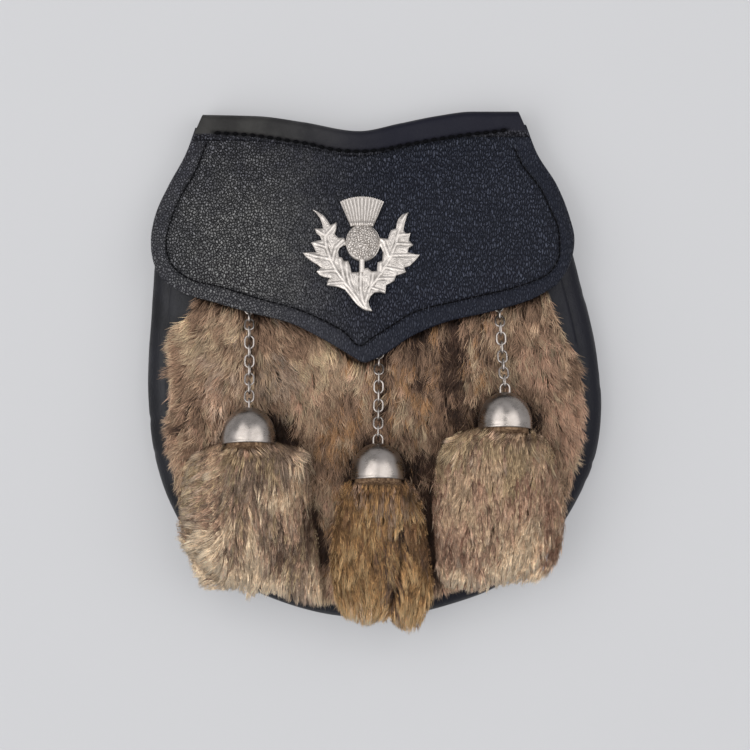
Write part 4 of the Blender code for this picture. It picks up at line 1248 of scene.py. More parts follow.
def build_gusset(look):
    """The gusset's bulging band, with creases where it is drawn round the bends."""
    count, deep = 261, 21
    edge, inward = outline(count, GUSSET_TOP)
    share = np.linspace(0, 1, count)
    rim = along(DEPTH, edge[:, 1], 1)
    tuck = FLAP_TUCK * (1 - smoothstep(58, 72, edge[:, 1]))
    high, low = rim - FRONT_THICK - GAP, PANEL_THICK + GAP
    middle = low + (high - low) * 0.42
    crease = np.zeros(count)
    for at, depth, wide in GUSSET_CREASES:
        crease += depth * np.exp(-(((share - at) * GUSSET_LONG / wide) ** 2))
    outer, inner = [], []
    for turn in np.linspace(math.pi / 2, -math.pi / 2, deep):
        upper = turn >= 0
        span = np.where(upper, RIM_INSET + GUSSET_LAP, GUSSET_FOOT) - tuck
        tall = (high - middle) if upper else (middle - low)
        creased = 0.25 * wander(share * GUSSET_LONG, turn * 9, 24, 21) + crease
        bulge = creased * max(math.cos(turn), 0.0)
        for sunk, kept in ((bulge, outer), (GUSSET_THICK, inner)):
            reach = span * (1 - math.cos(turn)) + tuck + sunk * math.cos(turn)
            z = middle + tall * math.sin(turn) - sunk * math.sin(turn)
            kept.append(place(edge[:, 0] + inward[:, 0] * reach,
                              edge[:, 1] + inward[:, 1] * reach, z))
    add_piece("gusset_leather", lean_slab(np.array(outer), np.array(inner), 4), look,
              ["gusset"], 60)


def fan_places(columns, rows, inset, start, sides=None):
    """Places over the front, from a line across the pouch out to its edge."""
    edge, inward = outline(columns, start)
    rim = edge + inward * inset
    if sides:
        left, right = along(sides, rim[:, 1], 1), along(sides, rim[:, 1], 2)
        rim[:, 0] = np.clip(rim[:, 0], left + 3, right - 3)
    rim[:, 1] = np.maximum(rim[:, 1], start)
    rim[0, 1] = rim[-1, 1] = start
    across = np.linspace(rim[0, 0] * FAN_NARROW, rim[-1, 0] * FAN_NARROW, columns)
    share = np.linspace(0, 1, rows)[:, None]
    x = across[None, :] * (1 - share) + rim[None, :, 0] * share
    sag = along(TOP_EDGE, across)[None, :] * (1 - share) ** 2
    y = start * (1 - share) + rim[None, :, 1] * share + sag
    return x, y


def build_front_panel(look):
    """The leather of the front panel, under the fur."""
    x, y = fan_places(111, 31, RIM_INSET, MOUTH_DOWN)
    top = front_height(x, y)
    outer = top.copy()
    outer[-1] -= 0.5
    add_piece("front_panel_leather",
              lean_slab(place(x, y, outer), place(x, y, top - FRONT_THICK), 5), look,
              ["front_panel"], 60)


# ---------------------------------------------------------------- the badge


LEAF_RIBS = (
    # the midribs, then the veins out to the lobes, across and up
    ((1.0, -25.9), (-2.7, -20.1), (-7.4, -13.8), (-11.1, -8.4), (-13.7, -3.0), (-15.5, 2.4),
     (-16.2, 7.9), (-18.0, 14.1), (-21.0, 19.1)),
    ((1.4, -23.9), (3.2, -17.0), (6.5, -12.3), (9.8, -6.9), (12.7, -1.4), (14.9, 4.0),
     (16.0, 9.4), (17.5, 14.9), (19.9, 18.0)),
    ((-0.2, -3.0), (-0.5, -10.0), (-0.6, -16.2), (0.3, -21.6), (2.1, -25.9)),
    ((-13.7, -3.0), (-19.5, -2.0), (-25.2, -0.3)),
    ((-15.5, 2.4), (-21.8, 4.4)),
    ((-16.2, 7.9), (-20.4, 10.8)),
    ((-15.8, 7.9), (-11.3, 13.6)),
    ((-11.1, -8.4), (-19.3, -8.9)),
    ((-7.4, -13.8), (-15.0, -14.7)),
    ((-12.9, -3.8), (-11.5, 2.5), (-7.9, 6.0)),
    ((-7.4, -13.8), (-8.6, -8.0), (-9.4, -3.0)),
    ((-4.1, -17.7), (-6.3, -10.7), (-6.7, -4.5)),
    ((12.7, -1.4), (24.9, -1.2)),
    ((14.9, 4.0), (22.0, 3.6)),
    ((15.7, 7.9), (21.0, 8.8)),
    ((9.8, -6.9), (18.9, -8.8)),
    ((6.5, -12.3), (14.4, -12.0)),
    ((3.9, -16.2), (10.0, -18.4)),
    ((12.0, -2.2), (9.5, 5.0), (8.0, 6.2)),
    ((8.3, -10.0), (8.2, -4.8)),
    ((3.9, -16.2), (5.0, -9.4)),
)


def distance_to_lines(x, y, lines):
    """The distance from each place to the nearest of several lines."""
    away = np.full(x.shape, 99.0)
    for line in lines:
        for (ax, ay), (bx, by) in zip(line, line[1:]):
            dx, dy = bx - ax, by - ay
            t = np.clip(((x - ax) * dx + (y - ay) * dy) / (dx * dx + dy * dy), 0, 1)
            away = np.minimum(away, np.hypot(x - ax - dx * t, y - ay - dy * t))
    return away


def faced(points, triangles, way):
    """Triangles that all face up, or all down where way is -1."""
    ab, ac = (points[triangles[:, k]] - points[triangles[:, 0]] for k in (1, 2))
    turned = way * (ab[:, 0] * ac[:, 1] - ab[:, 1] * ac[:, 0]) < 0
    triangles[turned] = triangles[turned][:, ::-1]
    return triangles


def cast(border, spacing, height_of, low=0.0):
    """A plate with a flat back and a relief on its front, inside a border."""
    border = np.array(border)
    across = np.arange(border[:, 0].min(), border[:, 0].max(), spacing)
    up = np.arange(border[:, 1].min(), border[:, 1].max(), spacing * 0.87)
    grid = np.array([(x + (j % 2) * spacing / 2, y) for j, y in enumerate(up) for x in across])
    loop = np.concatenate([border, border[:1]])
    edge = distance_to_lines(grid[:, 0], grid[:, 1], [loop])
    crossings = np.zeros(len(grid), int)
    for (ax, ay), (bx, by) in zip(loop, loop[1:]):
        spans = (ay > grid[:, 1]) != (by > grid[:, 1])
        if ay != by:
            at = ax + (grid[:, 1] - ay) * (bx - ax) / (by - ay)
            crossings += spans & (grid[:, 0] < at)
    kept = grid[(crossings % 2 == 1) & (edge > spacing * 0.45)]
    places = [Vector(p) for p in np.concatenate([border, kept])]
    found = geometry.delaunay_2d_cdt(places, [], [list(range(len(border)))], 1, 1e-6)
    flat = np.array([tuple(p) for p in found[0]])
    faces = faced(flat, np.array([f for f in found[2] if len(f) == 3]), 1)
    away = distance_to_lines(flat[:, 0], flat[:, 1], [loop])
    top = np.column_stack([flat, height_of(flat[:, 0], flat[:, 1], away)])
    edges = dict.fromkeys(pair for a, b, c in faces.tolist() for pair in ((a, b), (b, c), (c, a)))
    after = {a: b for a, b in edges if (b, a) not in edges}
    ring = [next(iter(after))]
    while after[ring[-1]] != ring[0]:
        ring.append(after[ring[-1]])
    n = len(flat)
    back = geometry.tessellate_polygon([[Vector((*flat[v], 0)) for v in ring]])
    points = np.concatenate([top, np.column_stack([flat[ring], np.full(len(ring), low)])])
    under = faced(points, n + np.array(back), -1)
    below = {v: n + k for k, v in enumerate(ring)}
    wall = np.array([(b, a, below[a], below[b]) for a, b in after.items()])
    return points, [faces, under, wall]


def leaf_marks(x, y):
    """The leaves' ribs, the cuts beside them and the fine lines between, each up to 1."""
    ribs = distance_to_lines(x, y, LEAF_RIBS)
    ridge = np.exp(-((ribs / 0.35) ** 2))
    depth = 0.65 + 0.5 * wander(x, y, 2.6, 74)
    cut = np.exp(-(((ribs - 0.8) / 0.24) ** 2)) * np.clip(depth, 0.1, 1.0)
    lines = np.cos((ribs + 0.35 * wander(x, y, 1.5, 76)) * 8.5) * smoothstep(1.0, 1.4, ribs)
    return ridge, cut, lines


def leaf_height(x, y, away):
    """Leaves with raised ribs between two cut lines each, and fine lines along them."""
    ridge, cut, lines = leaf_marks(x, y)
    body = 1.15 + 0.45 * smoothstep(0, 0.7, away) + 0.12 * wander(x, y, 2.4, 77)
    return body + 0.22 * ridge + (0.09 * lines - 0.26 * cut) * smoothstep(0.1, 0.6, away)


def bulb_height(x, y, away):
    """Small overlapping scales, set in bent rows, on a round flower head."""
    u, v = x / BULB_WIDE, (y - BULB_UP) / BULB_TALL
    dome = np.sqrt(np.clip(1 - u * u - v * v, 0, 1))
    return 1.1 + BULB_RELIEF * 0.7 * dome + 0.5 * (scale_pattern(x, y) - 0.5) * smoothstep(
        0.0, 0.8, away)


def scale_pattern(x, y):
    """The bulb's small scales, 0 between them and 1 on top."""
    bent_x = x + 0.9 * wander(x, y, 3.4, 71)
    bent_y = y + 0.9 * wander(x, y, 3.4, 72)
    return pebbles(bent_x, bent_y, 1.2, 73)


def crown_half(y):
    """Half of the crown's width at a place up the badge."""
    share = (y - CROWN_FOOT_UP) / (CROWN_TOP_UP - CROWN_FOOT_UP)
    return CROWN_FOOT_HALF + (CROWN_TOP_HALF - CROWN_FOOT_HALF) * np.clip(share, 0, 1)


def crown_height(x, y, away):
    """Flutes that fan out from the bulb to the crown's fringed top."""
    round_over = 0.6 * np.sqrt(np.clip(1 - (x / crown_half(y)) ** 2, 0, 1))
    collar = 0.5 * np.exp(-(((y - CROWN_FOOT_UP - 1.2) / 0.6) ** 2))
    return 1.35 + round_over + 0.22 * flutes_at(x, y) * smoothstep(0.05, 0.5, away) + collar


def flutes_at(x, y):
    """The crown's flutes, from -1 in a groove to 1 on a ridge."""
    return np.cos((x + 0.12 * wander(x, y, 2.2, 75)) / crown_half(y) * math.pi * CROWN_FLUTES)


def build_badge(look):
    """The thistle: a leaf wreath, a crown, a bulb and a stem, each cast as a plate."""
    crown = [(CROWN_FOOT_HALF, CROWN_FOOT_UP)]
    steps = 40
    for step in range(steps + 1):
        share = 1 - 2 * step / steps
        notch = 0.3 if step % 2 else 0.0
        arch = CROWN_ARCH * (1 - share * share)
        crown.append((CROWN_TOP_HALF * share, CROWN_TOP_UP - CROWN_ARCH + arch - notch))
    crown.append((-CROWN_FOOT_HALF, CROWN_FOOT_UP))
    turn = full_turn(56)
    bulb = np.stack([0.4 + BULB_WIDE * np.cos(turn), BULB_UP + BULB_TALL * np.sin(turn)], 1)
    stem = [(-STEM_HALF, -9.6), (STEM_HALF, -9.6), (STEM_HALF, -1.4), (-STEM_HALF, -1.4)]

    def stem_height(x, _y, _away):
        return 0.9 + 1.1 * np.sqrt(np.clip(1 - (x / STEM_HALF) ** 2 * 0.9, 0, 1))

    parts = [cast(WREATH[::-1], 0.36, leaf_height), cast(crown, 0.28, crown_height, 0.05),
             cast(bulb, 0.26, bulb_height, 0.1), cast(stem, 0.3, stem_height, 0.08)]
    leaf, flute, scale, stalk = (points.T for points, _ in parts)
    ridge, cut, lines = leaf_marks(leaf[0], leaf[1])
    # The pewter's brightness: painted shade in the cuts, grooves and between the scales, painted
    # highlight on the ribs and the flutes' ridges.
    relief = [
        np.clip(0.62 + 0.25 * ridge - 0.42 * cut + 0.22 * lines
                + 0.16 * wander(leaf[0], leaf[1], 2.0, 78), 0, 1),
        0.62 + 0.30 * flutes_at(flute[0], flute[1]),
        0.34 + 0.34 * scale_pattern(scale[0], scale[1]),
        np.clip((stalk[2] - 0.9) / 0.7, 0, 1),
    ]
    points, polygons = joined(parts)
    up = surface_up(flap_height, BADGE_ACROSS, BADGE_DOWN)
    height = float(flap_height(BADGE_ACROSS, BADGE_DOWN)) + GAP
    matrix = laid_at(BADGE_ACROSS, BADGE_DOWN, height, up)
    add_piece("thistle_badge_cast", (moved(matrix, points), polygons), look,
              ["thistle_badge"], 50, {"relief": np.concatenate(relief)})


# ---------------------------------------------------------------- chains and domes


def dome_frame(pendant):
    """The dome's rim centre, seated on the fur, the way to its top, and its section's up."""
    x, down = pendant["dome"]
    ahead = np.array([0.0, math.cos(DOME_TILT), -math.sin(DOME_TILT)])
    up = np.array([0.0, math.sin(DOME_TILT), math.cos(DOME_TILT)])
    turn, tall = np.meshgrid(np.linspace(-math.pi, 0, 25), np.linspace(0, DOME_TALL, 23))
    rise = np.clip((tall - DOME_SKIRT) / (DOME_TALL - DOME_SKIRT), 0, 1)
    radius = DOME_RADIUS * np.sqrt(1 - rise**2)
    behind = tall * ahead[1] + radius * np.sin(turn) * up[1]
    above = tall * ahead[2] + radius * np.sin(turn) * up[2]
    below = fur_height(x + radius * np.cos(turn), down - behind)
    height = float(np.max(below - above)) + 1.6 * SEAT_GAP
    return np.array([x, TOP_Y - down, height]), ahead, up


def chain_curve(pendant):
    """Places along a chain, from the staple's bar under the flap to the dome's eye."""
    x, down = pendant["chain"]
    rim, ahead, _ = dome_frame(pendant)
    eye = rim + ahead * (DOME_TALL + EYE_RADIUS - EYE_SUNK)
    last = TOP_Y - eye[1]
    stops = np.linspace(down, last - 2.5, 12)
    across = x + (eye[0] - x) * (stops - down) / (last - down)
    height = np.maximum(fur_height(across, stops), fur_height(across, stops + 2.0)) + CHAIN_LIFT
    height += (eye[2] - height) * smoothstep(last - CHAIN_RISE, last + 2.0, stops)
    points = np.stack([across, TOP_Y - stops, height], 1)
    return smooth_curve([*points, eye], 400)


def chain_places(pendant):
    """Each link's centre and direction, hooked at both ends."""
    curve = chain_curve(pendant)
    length = run_along(curve)
    first = LINK_LONG / 2 - 1.5 * WIRE - GAP
    last = EYE_RADIUS - WIRE - 2 * GAP + (LINK_LONG - WIRE) / 2
    run = length[-1] - first - last
    count = math.ceil(run / LINK_PITCH) + 1
    stations = first + run * np.arange(count) / (count - 1)
    ahead = np.gradient(curve, length, axis=0)
    return placed_at(stations, length, curve), placed_at(stations, length, ahead)


def link_wire():
    """An oval link of round wire, long along Y."""
    wide, long = (LINK_WIDE - WIRE) / 2, (LINK_LONG - WIRE) / 2
    turn = full_turn(28) + 1e-3
    straight = np.sign(np.sin(turn)) * (long - wide)
    path = np.stack([wide * np.cos(turn), wide * np.sin(turn) + straight, np.zeros(28)], 1)
    return tube(path, WIRE / 2, 10, looped=True)


def crossing(number):
    """A quarter turn for even numbers, so that each ring of wire crosses the one before."""
    return np.array(Matrix.Rotation(math.pi / 2 if number % 2 == 0 else 0.0, 4, "Y"))


def build_chain(side, pendant, look):
    """A chain's links, each a quarter turn from the one before. Says how many there are."""
    points, polygons = link_wire()
    parts = []
    for number, (centre, way) in enumerate(zip(*chain_places(pendant))):
        down = TOP_Y - centre[1]
        up = surface_up(front_height, centre[0], down)
        flat = frame_at(centre[0], down, centre[2], way, up)
        parts.append((moved(flat @ crossing(number), points), polygons))
    names = [f"chain_{side}_link_{number + 1:02d}" for number in range(len(parts))]
    add_piece(f"chain_{side}_wire", joined(parts), look, names)
    return len(parts)


def build_dome(side, pendant, links, look):
    """A spun dome with a rolled rim and a wire eye soldered on top."""
    rim, ahead, up = dome_frame(pendant)
    cap = DOME_TALL - DOME_SKIRT
    turns = np.linspace(math.pi / 2, 0, 26)
    outer = [(DOME_RADIUS * math.cos(a), DOME_SKIRT + cap * math.sin(a)) for a in turns]
    lip = [(DOME_RADIUS - inset, level) for inset, level in DOME_LIP]
    radius, tall = DOME_RADIUS - DOME_THICK, cap - DOME_THICK
    inner = [(radius * math.cos(a), DOME_SKIRT + tall * math.sin(a)) for a in turns[::-2]]
    profile = [(0.0, DOME_TALL), *outer[1:], *lip, (radius, 0.25), *inner[:-1],
               (0.0, DOME_SKIRT + tall)]
    bow = [(EYE_RADIUS * math.cos(a), EYE_RADIUS * math.sin(a), 0)
           for a in np.linspace(0, math.pi, 19)]
    arch = [(EYE_RADIUS, -EYE_RADIUS - 0.3, 0), (EYE_RADIUS, -1.0, 0), *bow,
            (-EYE_RADIUS, -1.0, 0), (-EYE_RADIUS, -EYE_RADIUS - 0.3, 0)]
    eye, ends = tube(arch, WIRE / 2, 10)
    eye = moved(crossing(links), eye) + (0, DOME_TALL + EYE_RADIUS - EYE_SUNK, 0)
    points, polygons = joined([lathe(profile, 64), (eye, ends)])
    matrix = frame_at(rim[0], TOP_Y - rim[1], rim[2], ahead, up)
    add_piece(f"dome_{side}_spun", (moved(matrix, points), polygons), look,
              [f"dome_{side}"], 50)


# ---------------------------------------------------------------- fur


def add_hair(name, paths, up, width, shade, look, node):
    """Hairs as thin three-sided spikes, pointed at both ends. paths holds three points for each,
    up the way their backs face, and shade the place of their colour on the strands' map."""
    start, middle, end = paths.transpose(1, 0, 2)
    side = unit(np.cross(end - start, up), TINY)
    over = unit(np.cross(side, end - middle), TINY)
    half = width[:, None] / 2
    points = np.stack([start, middle + side * half, middle + over * half, middle - side * half,
                       end], 1)
    around = ((0, 1), (1, 2), (2, 0))
    faces = [(0, 1 + j, 1 + k) for j, k in around] + [(1 + j, 4, 1 + k) for j, k in around]
    polygons = (np.array(faces)[None] + 5 * np.arange(len(paths))[:, None, None]).reshape(-1, 3)
    piece = add_piece(name, (points, [polygons]), look, [node])
    at = [((j + 0.5, 0), (j, 1), (j + 1, 1)) for j, _ in around]
    at += [((j, 1), (j + 0.5, 2), (j + 1, 1)) for j, _ in around]
    at = np.array(at)[None]
    column = 0.8 / (len(SHADES) * LEVELS)
    u = shade[:, None, None] + (at[..., 0] / 3 - 0.5) * column
    v = np.interp(at[..., 1], [0, 1, 2], [0.02, 0.5, 0.98]) + np.zeros_like(u)
    flat = np.stack([u, v], -1).astype(np.float32).ravel()
    for layer in ("OFBake", "Strand"):
        piece.data.uv_layers.new(name=layer).uv.foreach_set("vector", flat)


def kept_within(paths, depth_of, allowed):
    """Shortens hairs whose tips reach further out of an outline than they may."""
    for _ in range(2):
        root, tip = depth_of(paths[:, 0]), depth_of(paths[:, -1])
        reach = np.clip((root + allowed) / np.maximum(root - tip, 1e-6), 0.3, 1.0)
        scale = np.where(tip < -allowed, reach, 1.0)[:, None, None]
        paths = paths[:, :1] + (paths - paths[:, :1]) * scale
    return paths


def tone_of(rng, places, patches):
    """The colour of hairs at these places, as its number in the list."""
    across, down = places.T
    weights = np.zeros((len(across), len(SHADES)))
    for x, y, wide, tall, name, weight in patches:
        near = np.exp(-(((across - x) / wide) ** 2) - ((down - y) / tall) ** 2)
        weights[:, SHADES.index(name)] += weight * near
    drift = 2.0 * wander(across, down * 0.6, 8, 91) + rng.normal(0, 0.7, len(across))
    pick = weights.sum(1) / (1 + np.exp(-1.7 * drift / 1.1))
    return (np.cumsum(weights, 1) < pick[:, None]).sum(1).clip(0, len(SHADES) - 1)


def shade_at(family, level):
    """The place of a colour and its brightness on the strands' map."""
    return (family + (level + 0.5) / LEVELS) / len(SHADES)


def tufted(rng, where, tones):
    """Groups places into tufts: the tufts' middles, each hair's tuft, and each hair's shade,
    which is its tuft's own give or take a level. A few hairs have a colour of their own."""
    count = max(len(where) // HAIRS_A_TUFT, 1)
    centres = where[rng.choice(len(where), count, replace=False)]
    tuft, _ = nearest_of(centres * TUFT_SQUEEZE, where * TUFT_SQUEEZE)
    bright = rng.normal(0.5, 0.17, count) + 0.1 * wander(centres[:, 0], centres[:, 1], 6, 92)
    level = np.clip((np.clip(bright, 0.02, 0.98) * LEVELS).astype(int), 0, LEVELS - 1)
    family = tone_of(rng, centres, tones)
    stray = rng.random(len(where)) < STRAY_SHARE
    family = np.where(stray, tone_of(rng, where, tones), family[tuft])
    step = rng.choice((-2, -1, 0, 1, 2), len(where), p=(0.09, 0.22, 0.38, 0.22, 0.09))
    level = np.clip(level[tuft] + step, 0, LEVELS - 1)
    return centres, tuft, shade_at(family, level)


def leaning(angle):
    """The way across and down at an angle from straight down."""
    return np.stack([np.sin(angle), np.cos(angle)], -1)


def pulled(paths, goals, share):
    """Hairs drawn towards others, all the more near their tips."""
    pull = (share * HAIR_STEPS**1.6)[None, :, None]
    return paths * (1 - pull) + goals * pull


def beside(rows, across, down):
    """How far places lie in from the nearer of a table's left and right side."""
    return np.minimum(across - along(rows, down, 1), along(rows, down, 2) - across)


def front_heading(across, down):
    """Which way the front's hair lies: its angle from straight down, positive to the right."""
    lean = 0.10 * np.sin(across / 17 + down / 29) + 0.20 * wander(across, down, 15, 41)
    off = across + 54
    parting = 0.75 * np.tanh(off / 7) * np.exp(-((off / 24) ** 2) - ((down - 104) / 26) ** 2)
    left = -1.05 * smoothstep(-66, -90, across) * smoothstep(165, 120, down)
    lower_left = -0.5 * smoothstep(-66, -90, across) * smoothstep(120, 165, down)
    right = 0.55 * smoothstep(66, 92, across)
    return lean + parting + left + lower_left + right


def fur_margin(points):
    """How far places in the model's frame lie in from the front fur's sides and foot."""
    across, down = points[:, 0], TOP_Y - points[:, 1]
    foot = inside(across, down) + 1.5 + 60 * (down < 170)
    return np.minimum(beside(FUR_SIDES, across, down), foot)


def grow_front(name, rng, low, high, look):
    """Hair over one half of the front, from one place across to another."""
    across = rng.uniform(low, high, FRONT_HAIRS * 6)
    down = rng.uniform(FUR_TOP_DOWN + 30, 222, FRONT_HAIRS * 6)
    keep = (down > flap_edge(across) - 2.5) & (inside(across, down) > 0.6)
    keep &= fur_margin(place(across, down, 0.0)) > 3.0
    across, down = across[keep], down[keep]
    covered = np.zeros(len(across), bool)
    for pendant in PENDANTS.values():
        rows = pendant["fur"]
        centre, half = along(rows, down, 1), along(rows, down, 2)
        tall = (down > rows[0][0] + 5) & (down < rows[-1][0] - 8)
        covered |= tall & (np.abs(across - centre) < half - 7)
    across, down = across[~covered][:FRONT_HAIRS], down[~covered][:FRONT_HAIRS]
    where = np.stack([across, down], 1)
    centres, tuft, shade = tufted(rng, where, FRONT_TONES)
    count, tufts = len(across), len(centres)
    # Painted shadow: hairs round each dome take the darkest level of dark brown.
    for pendant in PENDANTS.values():
        x, rim = pendant["dome"]
        away = np.hypot(across - x - 0.8, down - rim + 5.0) - DOME_RADIUS
        shadow = (away < 4.0 * rng.random(count) + 0.5) & (down < rim + 3)
        shade[shadow] = shade_at(SHADES.index("dark"), 0)
    heading = front_heading(across, down) + rng.normal(0, 0.14, count)
    length = rng.uniform(*FRONT_LENGTHS, count)[:, None] * HAIR_STEPS
    tuft_heading = front_heading(centres[:, 0], centres[:, 1]) + rng.normal(0, 0.28, tufts)
    tuft_length = rng.uniform(*FRONT_TUFT_LENGTHS, tufts)
    tuft_lift = rng.normal(0.0, 0.7, tufts)
    turn = heading[:, None] + rng.normal(0, 0.42, count)[:, None] * HAIR_STEPS**2
    path = where[:, None] + length[..., None] * leaning(turn)
    tip = centres + tuft_length[:, None] * leaning(tuft_heading)
    middle = (where + 0.35 * (centres[tuft] - where))[:, None]
    target = middle + (tip[tuft] - centres[tuft])[:, None] * HAIR_STEPS[None, :, None]
    path = pulled(path, target, FRONT_PULL)
    allowed = rng.exponential(1.5, tufts)[tuft] + rng.exponential(0.5, count)
    flat = kept_within(place(path[..., 0], path[..., 1], 0.0), fur_margin, allowed)
    x, y = flat[..., 0], TOP_Y - flat[..., 1]
    panel = front_height(across, down)
    root = panel + GAP + 0.35 * (fur_height(across, down) - panel - GAP)
    level = fur_height(x, y, overhang=True)
    wisp = rng.exponential(0.5, count) + tuft_lift[tuft]
    rise = 1 - (1 - HAIR_STEPS) ** 2
    roof = np.minimum(level + wisp[:, None] * HAIR_STEPS, front_height(x, y, True) + 7.2)
    paths = place(x, y, root[:, None] * (1 - rise) + roof * rise + 0.2)
    up = np.tile([0.0, 0.0, 1.0], (count, 1)) + rng.normal(0, 0.18, (count, 3))
    width = HAIR_WIDE * rng.uniform(0.7, 1.3, count)
    add_hair(name, paths, up, width, shade, look, "front_fur")


def build_front_pelt(look):
    """The pelt itself, with its dense under-wool, on the front panel."""
    x, y = fan_places(161, 71, RIM_INSET + 0.6, FUR_TOP_DOWN, FUR_SIDES)
    floor = front_height(x, y)
    deep = fur_height(x, y) - floor - GAP
    wool = 0.5 * deep + 0.35 * wander(x, y * 0.4, 2.2, 61) * smoothstep(1.0, 4.0, deep)
    shape = lean_slab(place(x, y, floor + GAP + np.maximum(wool, 0.3)),
                      place(x, y, floor + GAP), 5)
    pelt = add_piece("front_fur_pelt", shape, look, ["front_fur"])
    radius = STUD_RADIUS + 0.6
    points, polygons = lathe([(0, 9), (radius, 9), (radius, -4), (0, -4)], 32)
    up = surface_up(front_height, STUD_ACROSS, STUD_DOWN)
    low = float(front_height(STUD_ACROSS, STUD_DOWN)) + GAP
    stand = np.array(Matrix.Rotation(math.pi / 2, 4, "X"))
    matrix = laid_at(STUD_ACROSS, STUD_DOWN, low, up) @ stand
    cutter = linked("stud_hole", new_mesh("stud_hole", moved(matrix, points), polygons))
    cut = pelt.modifiers.new("stud", "BOOLEAN")
    cut.operation = "DIFFERENCE"
    cut.object = cutter
    bpy.context.view_layer.update()
    shown = pelt.evaluated_get(bpy.context.evaluated_depsgraph_get())
    pelt.modifiers.clear()
    pelt.data = bpy.data.meshes.new_from_object(shown)
    bpy.data.objects.remove(cutter)


class TasselForm:
    """A tassel's outer form as rings of points, with smooth look-ups between them."""

    def __init__(self, side):
        self.rows, self.split = PENDANTS[side]["fur"], side == "middle"
        self.reach, self.foot = TASSEL_REACH[side], TASSEL_FOOT[side]
        self.first, self.last = self.rows[0][0], self.rows[-1][0]
        rim, ahead, up = dome_frame(PENDANTS[side])
        turn = full_turn(FORM_SIDES)
        around = np.cos(turn)[:, None] * np.array([1.0, 0, 0]) + np.sin(turn)[:, None] * up
        rings = []
        for deep in NECK_DEPTHS:
            rise = max(deep - DOME_SKIRT, 0) / (DOME_TALL - DOME_SKIRT - DOME_THICK)
            radius = (DOME_RADIUS - DOME_THICK) * math.sqrt(1 - rise**2) - NECK_PLAY
            rings.append(rim + ahead * deep + radius * around)
        rings += [self.ring_at(level, turn) for level in np.linspace(self.first, self.last, 34)]
        self.rings = np.array(rings)
        self.neck = len(NECK_DEPTHS) - 1
        columns = []
        for column in self.rings[self.neck:].transpose(1, 0, 2):
            length = run_along(column)
            columns.append(placed_at(np.linspace(0, length[-1], FORM_ROWS), length, column))
        self.grid = np.stack(columns, 1)  # along, around, place
        down_way = np.gradient(self.grid, axis=0)
        around_way = np.roll(self.grid, -1, 1) - np.roll(self.grid, 1, 1)
        self.out = unit(np.cross(around_way, -down_way), TINY)
        self.down_way = unit(down_way, TINY)
        self.area = np.linalg.norm(np.cross(around_way / 2, down_way), axis=2)

    def ring_at(self, level, turn):
        """The ring of the form at a level down its table, bent to the form's foot."""
        left, right = self.sides_at(level)
        tall = float(along(self.rows, level, 3))
        across = (left + right) / 2 + (right - left) / 2 * np.cos(turn)
        high = np.sin(turn)
        crest = TASSEL_EDGE + (tall - TASSEL_EDGE) * np.abs(high) ** 0.8
        height = np.where(high > 1e-9, crest, TASSEL_EDGE * (1 - np.abs(high)))
        foot = along(self.foot, across) - FOOT_FRINGE
        down = self.first + (level - self.first) * (foot - self.first) / (self.last - self.first)
        if self.split:
            away = (across - along(CREVICE, down, 1)) / CREVICE_HALF
            height = height - np.maximum(high, 0) * along(CREVICE, down, 2) * np.exp(-away**2)
        base = fur_height(across, down, overhang=True) + SEAT_GAP
        return place(across, down, base + height)

    def share_at(self, down):
        """How far down the form a place is, as a share of its length."""
        return (down - self.first) / (self.last - self.first)

    def sides_at(self, down):
        """The form's left and right side, which widen from under the dome to the outline."""
        wide = smoothstep(0.0, 0.3, self.share_at(down))
        centre, half = along(self.rows, down, 1), along(self.rows, down, 2)
        low = along(self.reach, down, 1) + SIDE_FRINGE
        high = along(self.reach, down, 2) - SIDE_FRINGE
        left, right = np.maximum(centre - half, low), np.minimum(centre + half, high)
        return left + (low - left) * wide, right + (high - right) * wide

    def depth(self, points):
        """How far places lie in from the outline that the form has from above."""
        across, down = points[:, 0], TOP_Y - points[:, 1]
        return np.minimum(beside(self.reach, across, down), along(self.foot, across) - down)

    def seeded(self, rng, count, shown):
        """Random places on the form, by area: numbers into the grid, with fractions."""
        weight = self.area * shown
        cells = rng.choice(weight.size, count, p=weight.ravel() / weight.sum())
        i, j = np.unravel_index(cells, weight.shape)
        i = (i + rng.uniform(-0.5, 0.5, count)).clip(0, weight.shape[0] - 1.001)
        return i, j + rng.uniform(-0.5, 0.5, count)

    def look_up(self, table, i, j):
        """A table of the grid's points, read between them."""
        rows, sides = table.shape[:2]
        a, b = np.floor(i).astype(int), np.floor(j).astype(int)
        fi, fj = (i - a)[:, None], (j - b)[:, None]
        b, c = b % sides, (b + 1) % sides
        d = np.minimum(a + 1, rows - 1)
        return (table[a, b] * (1 - fj) + table[a, c] * fj) * (1 - fi) + (
            table[d, b] * (1 - fj) + table[d, c] * fj
        ) * fi


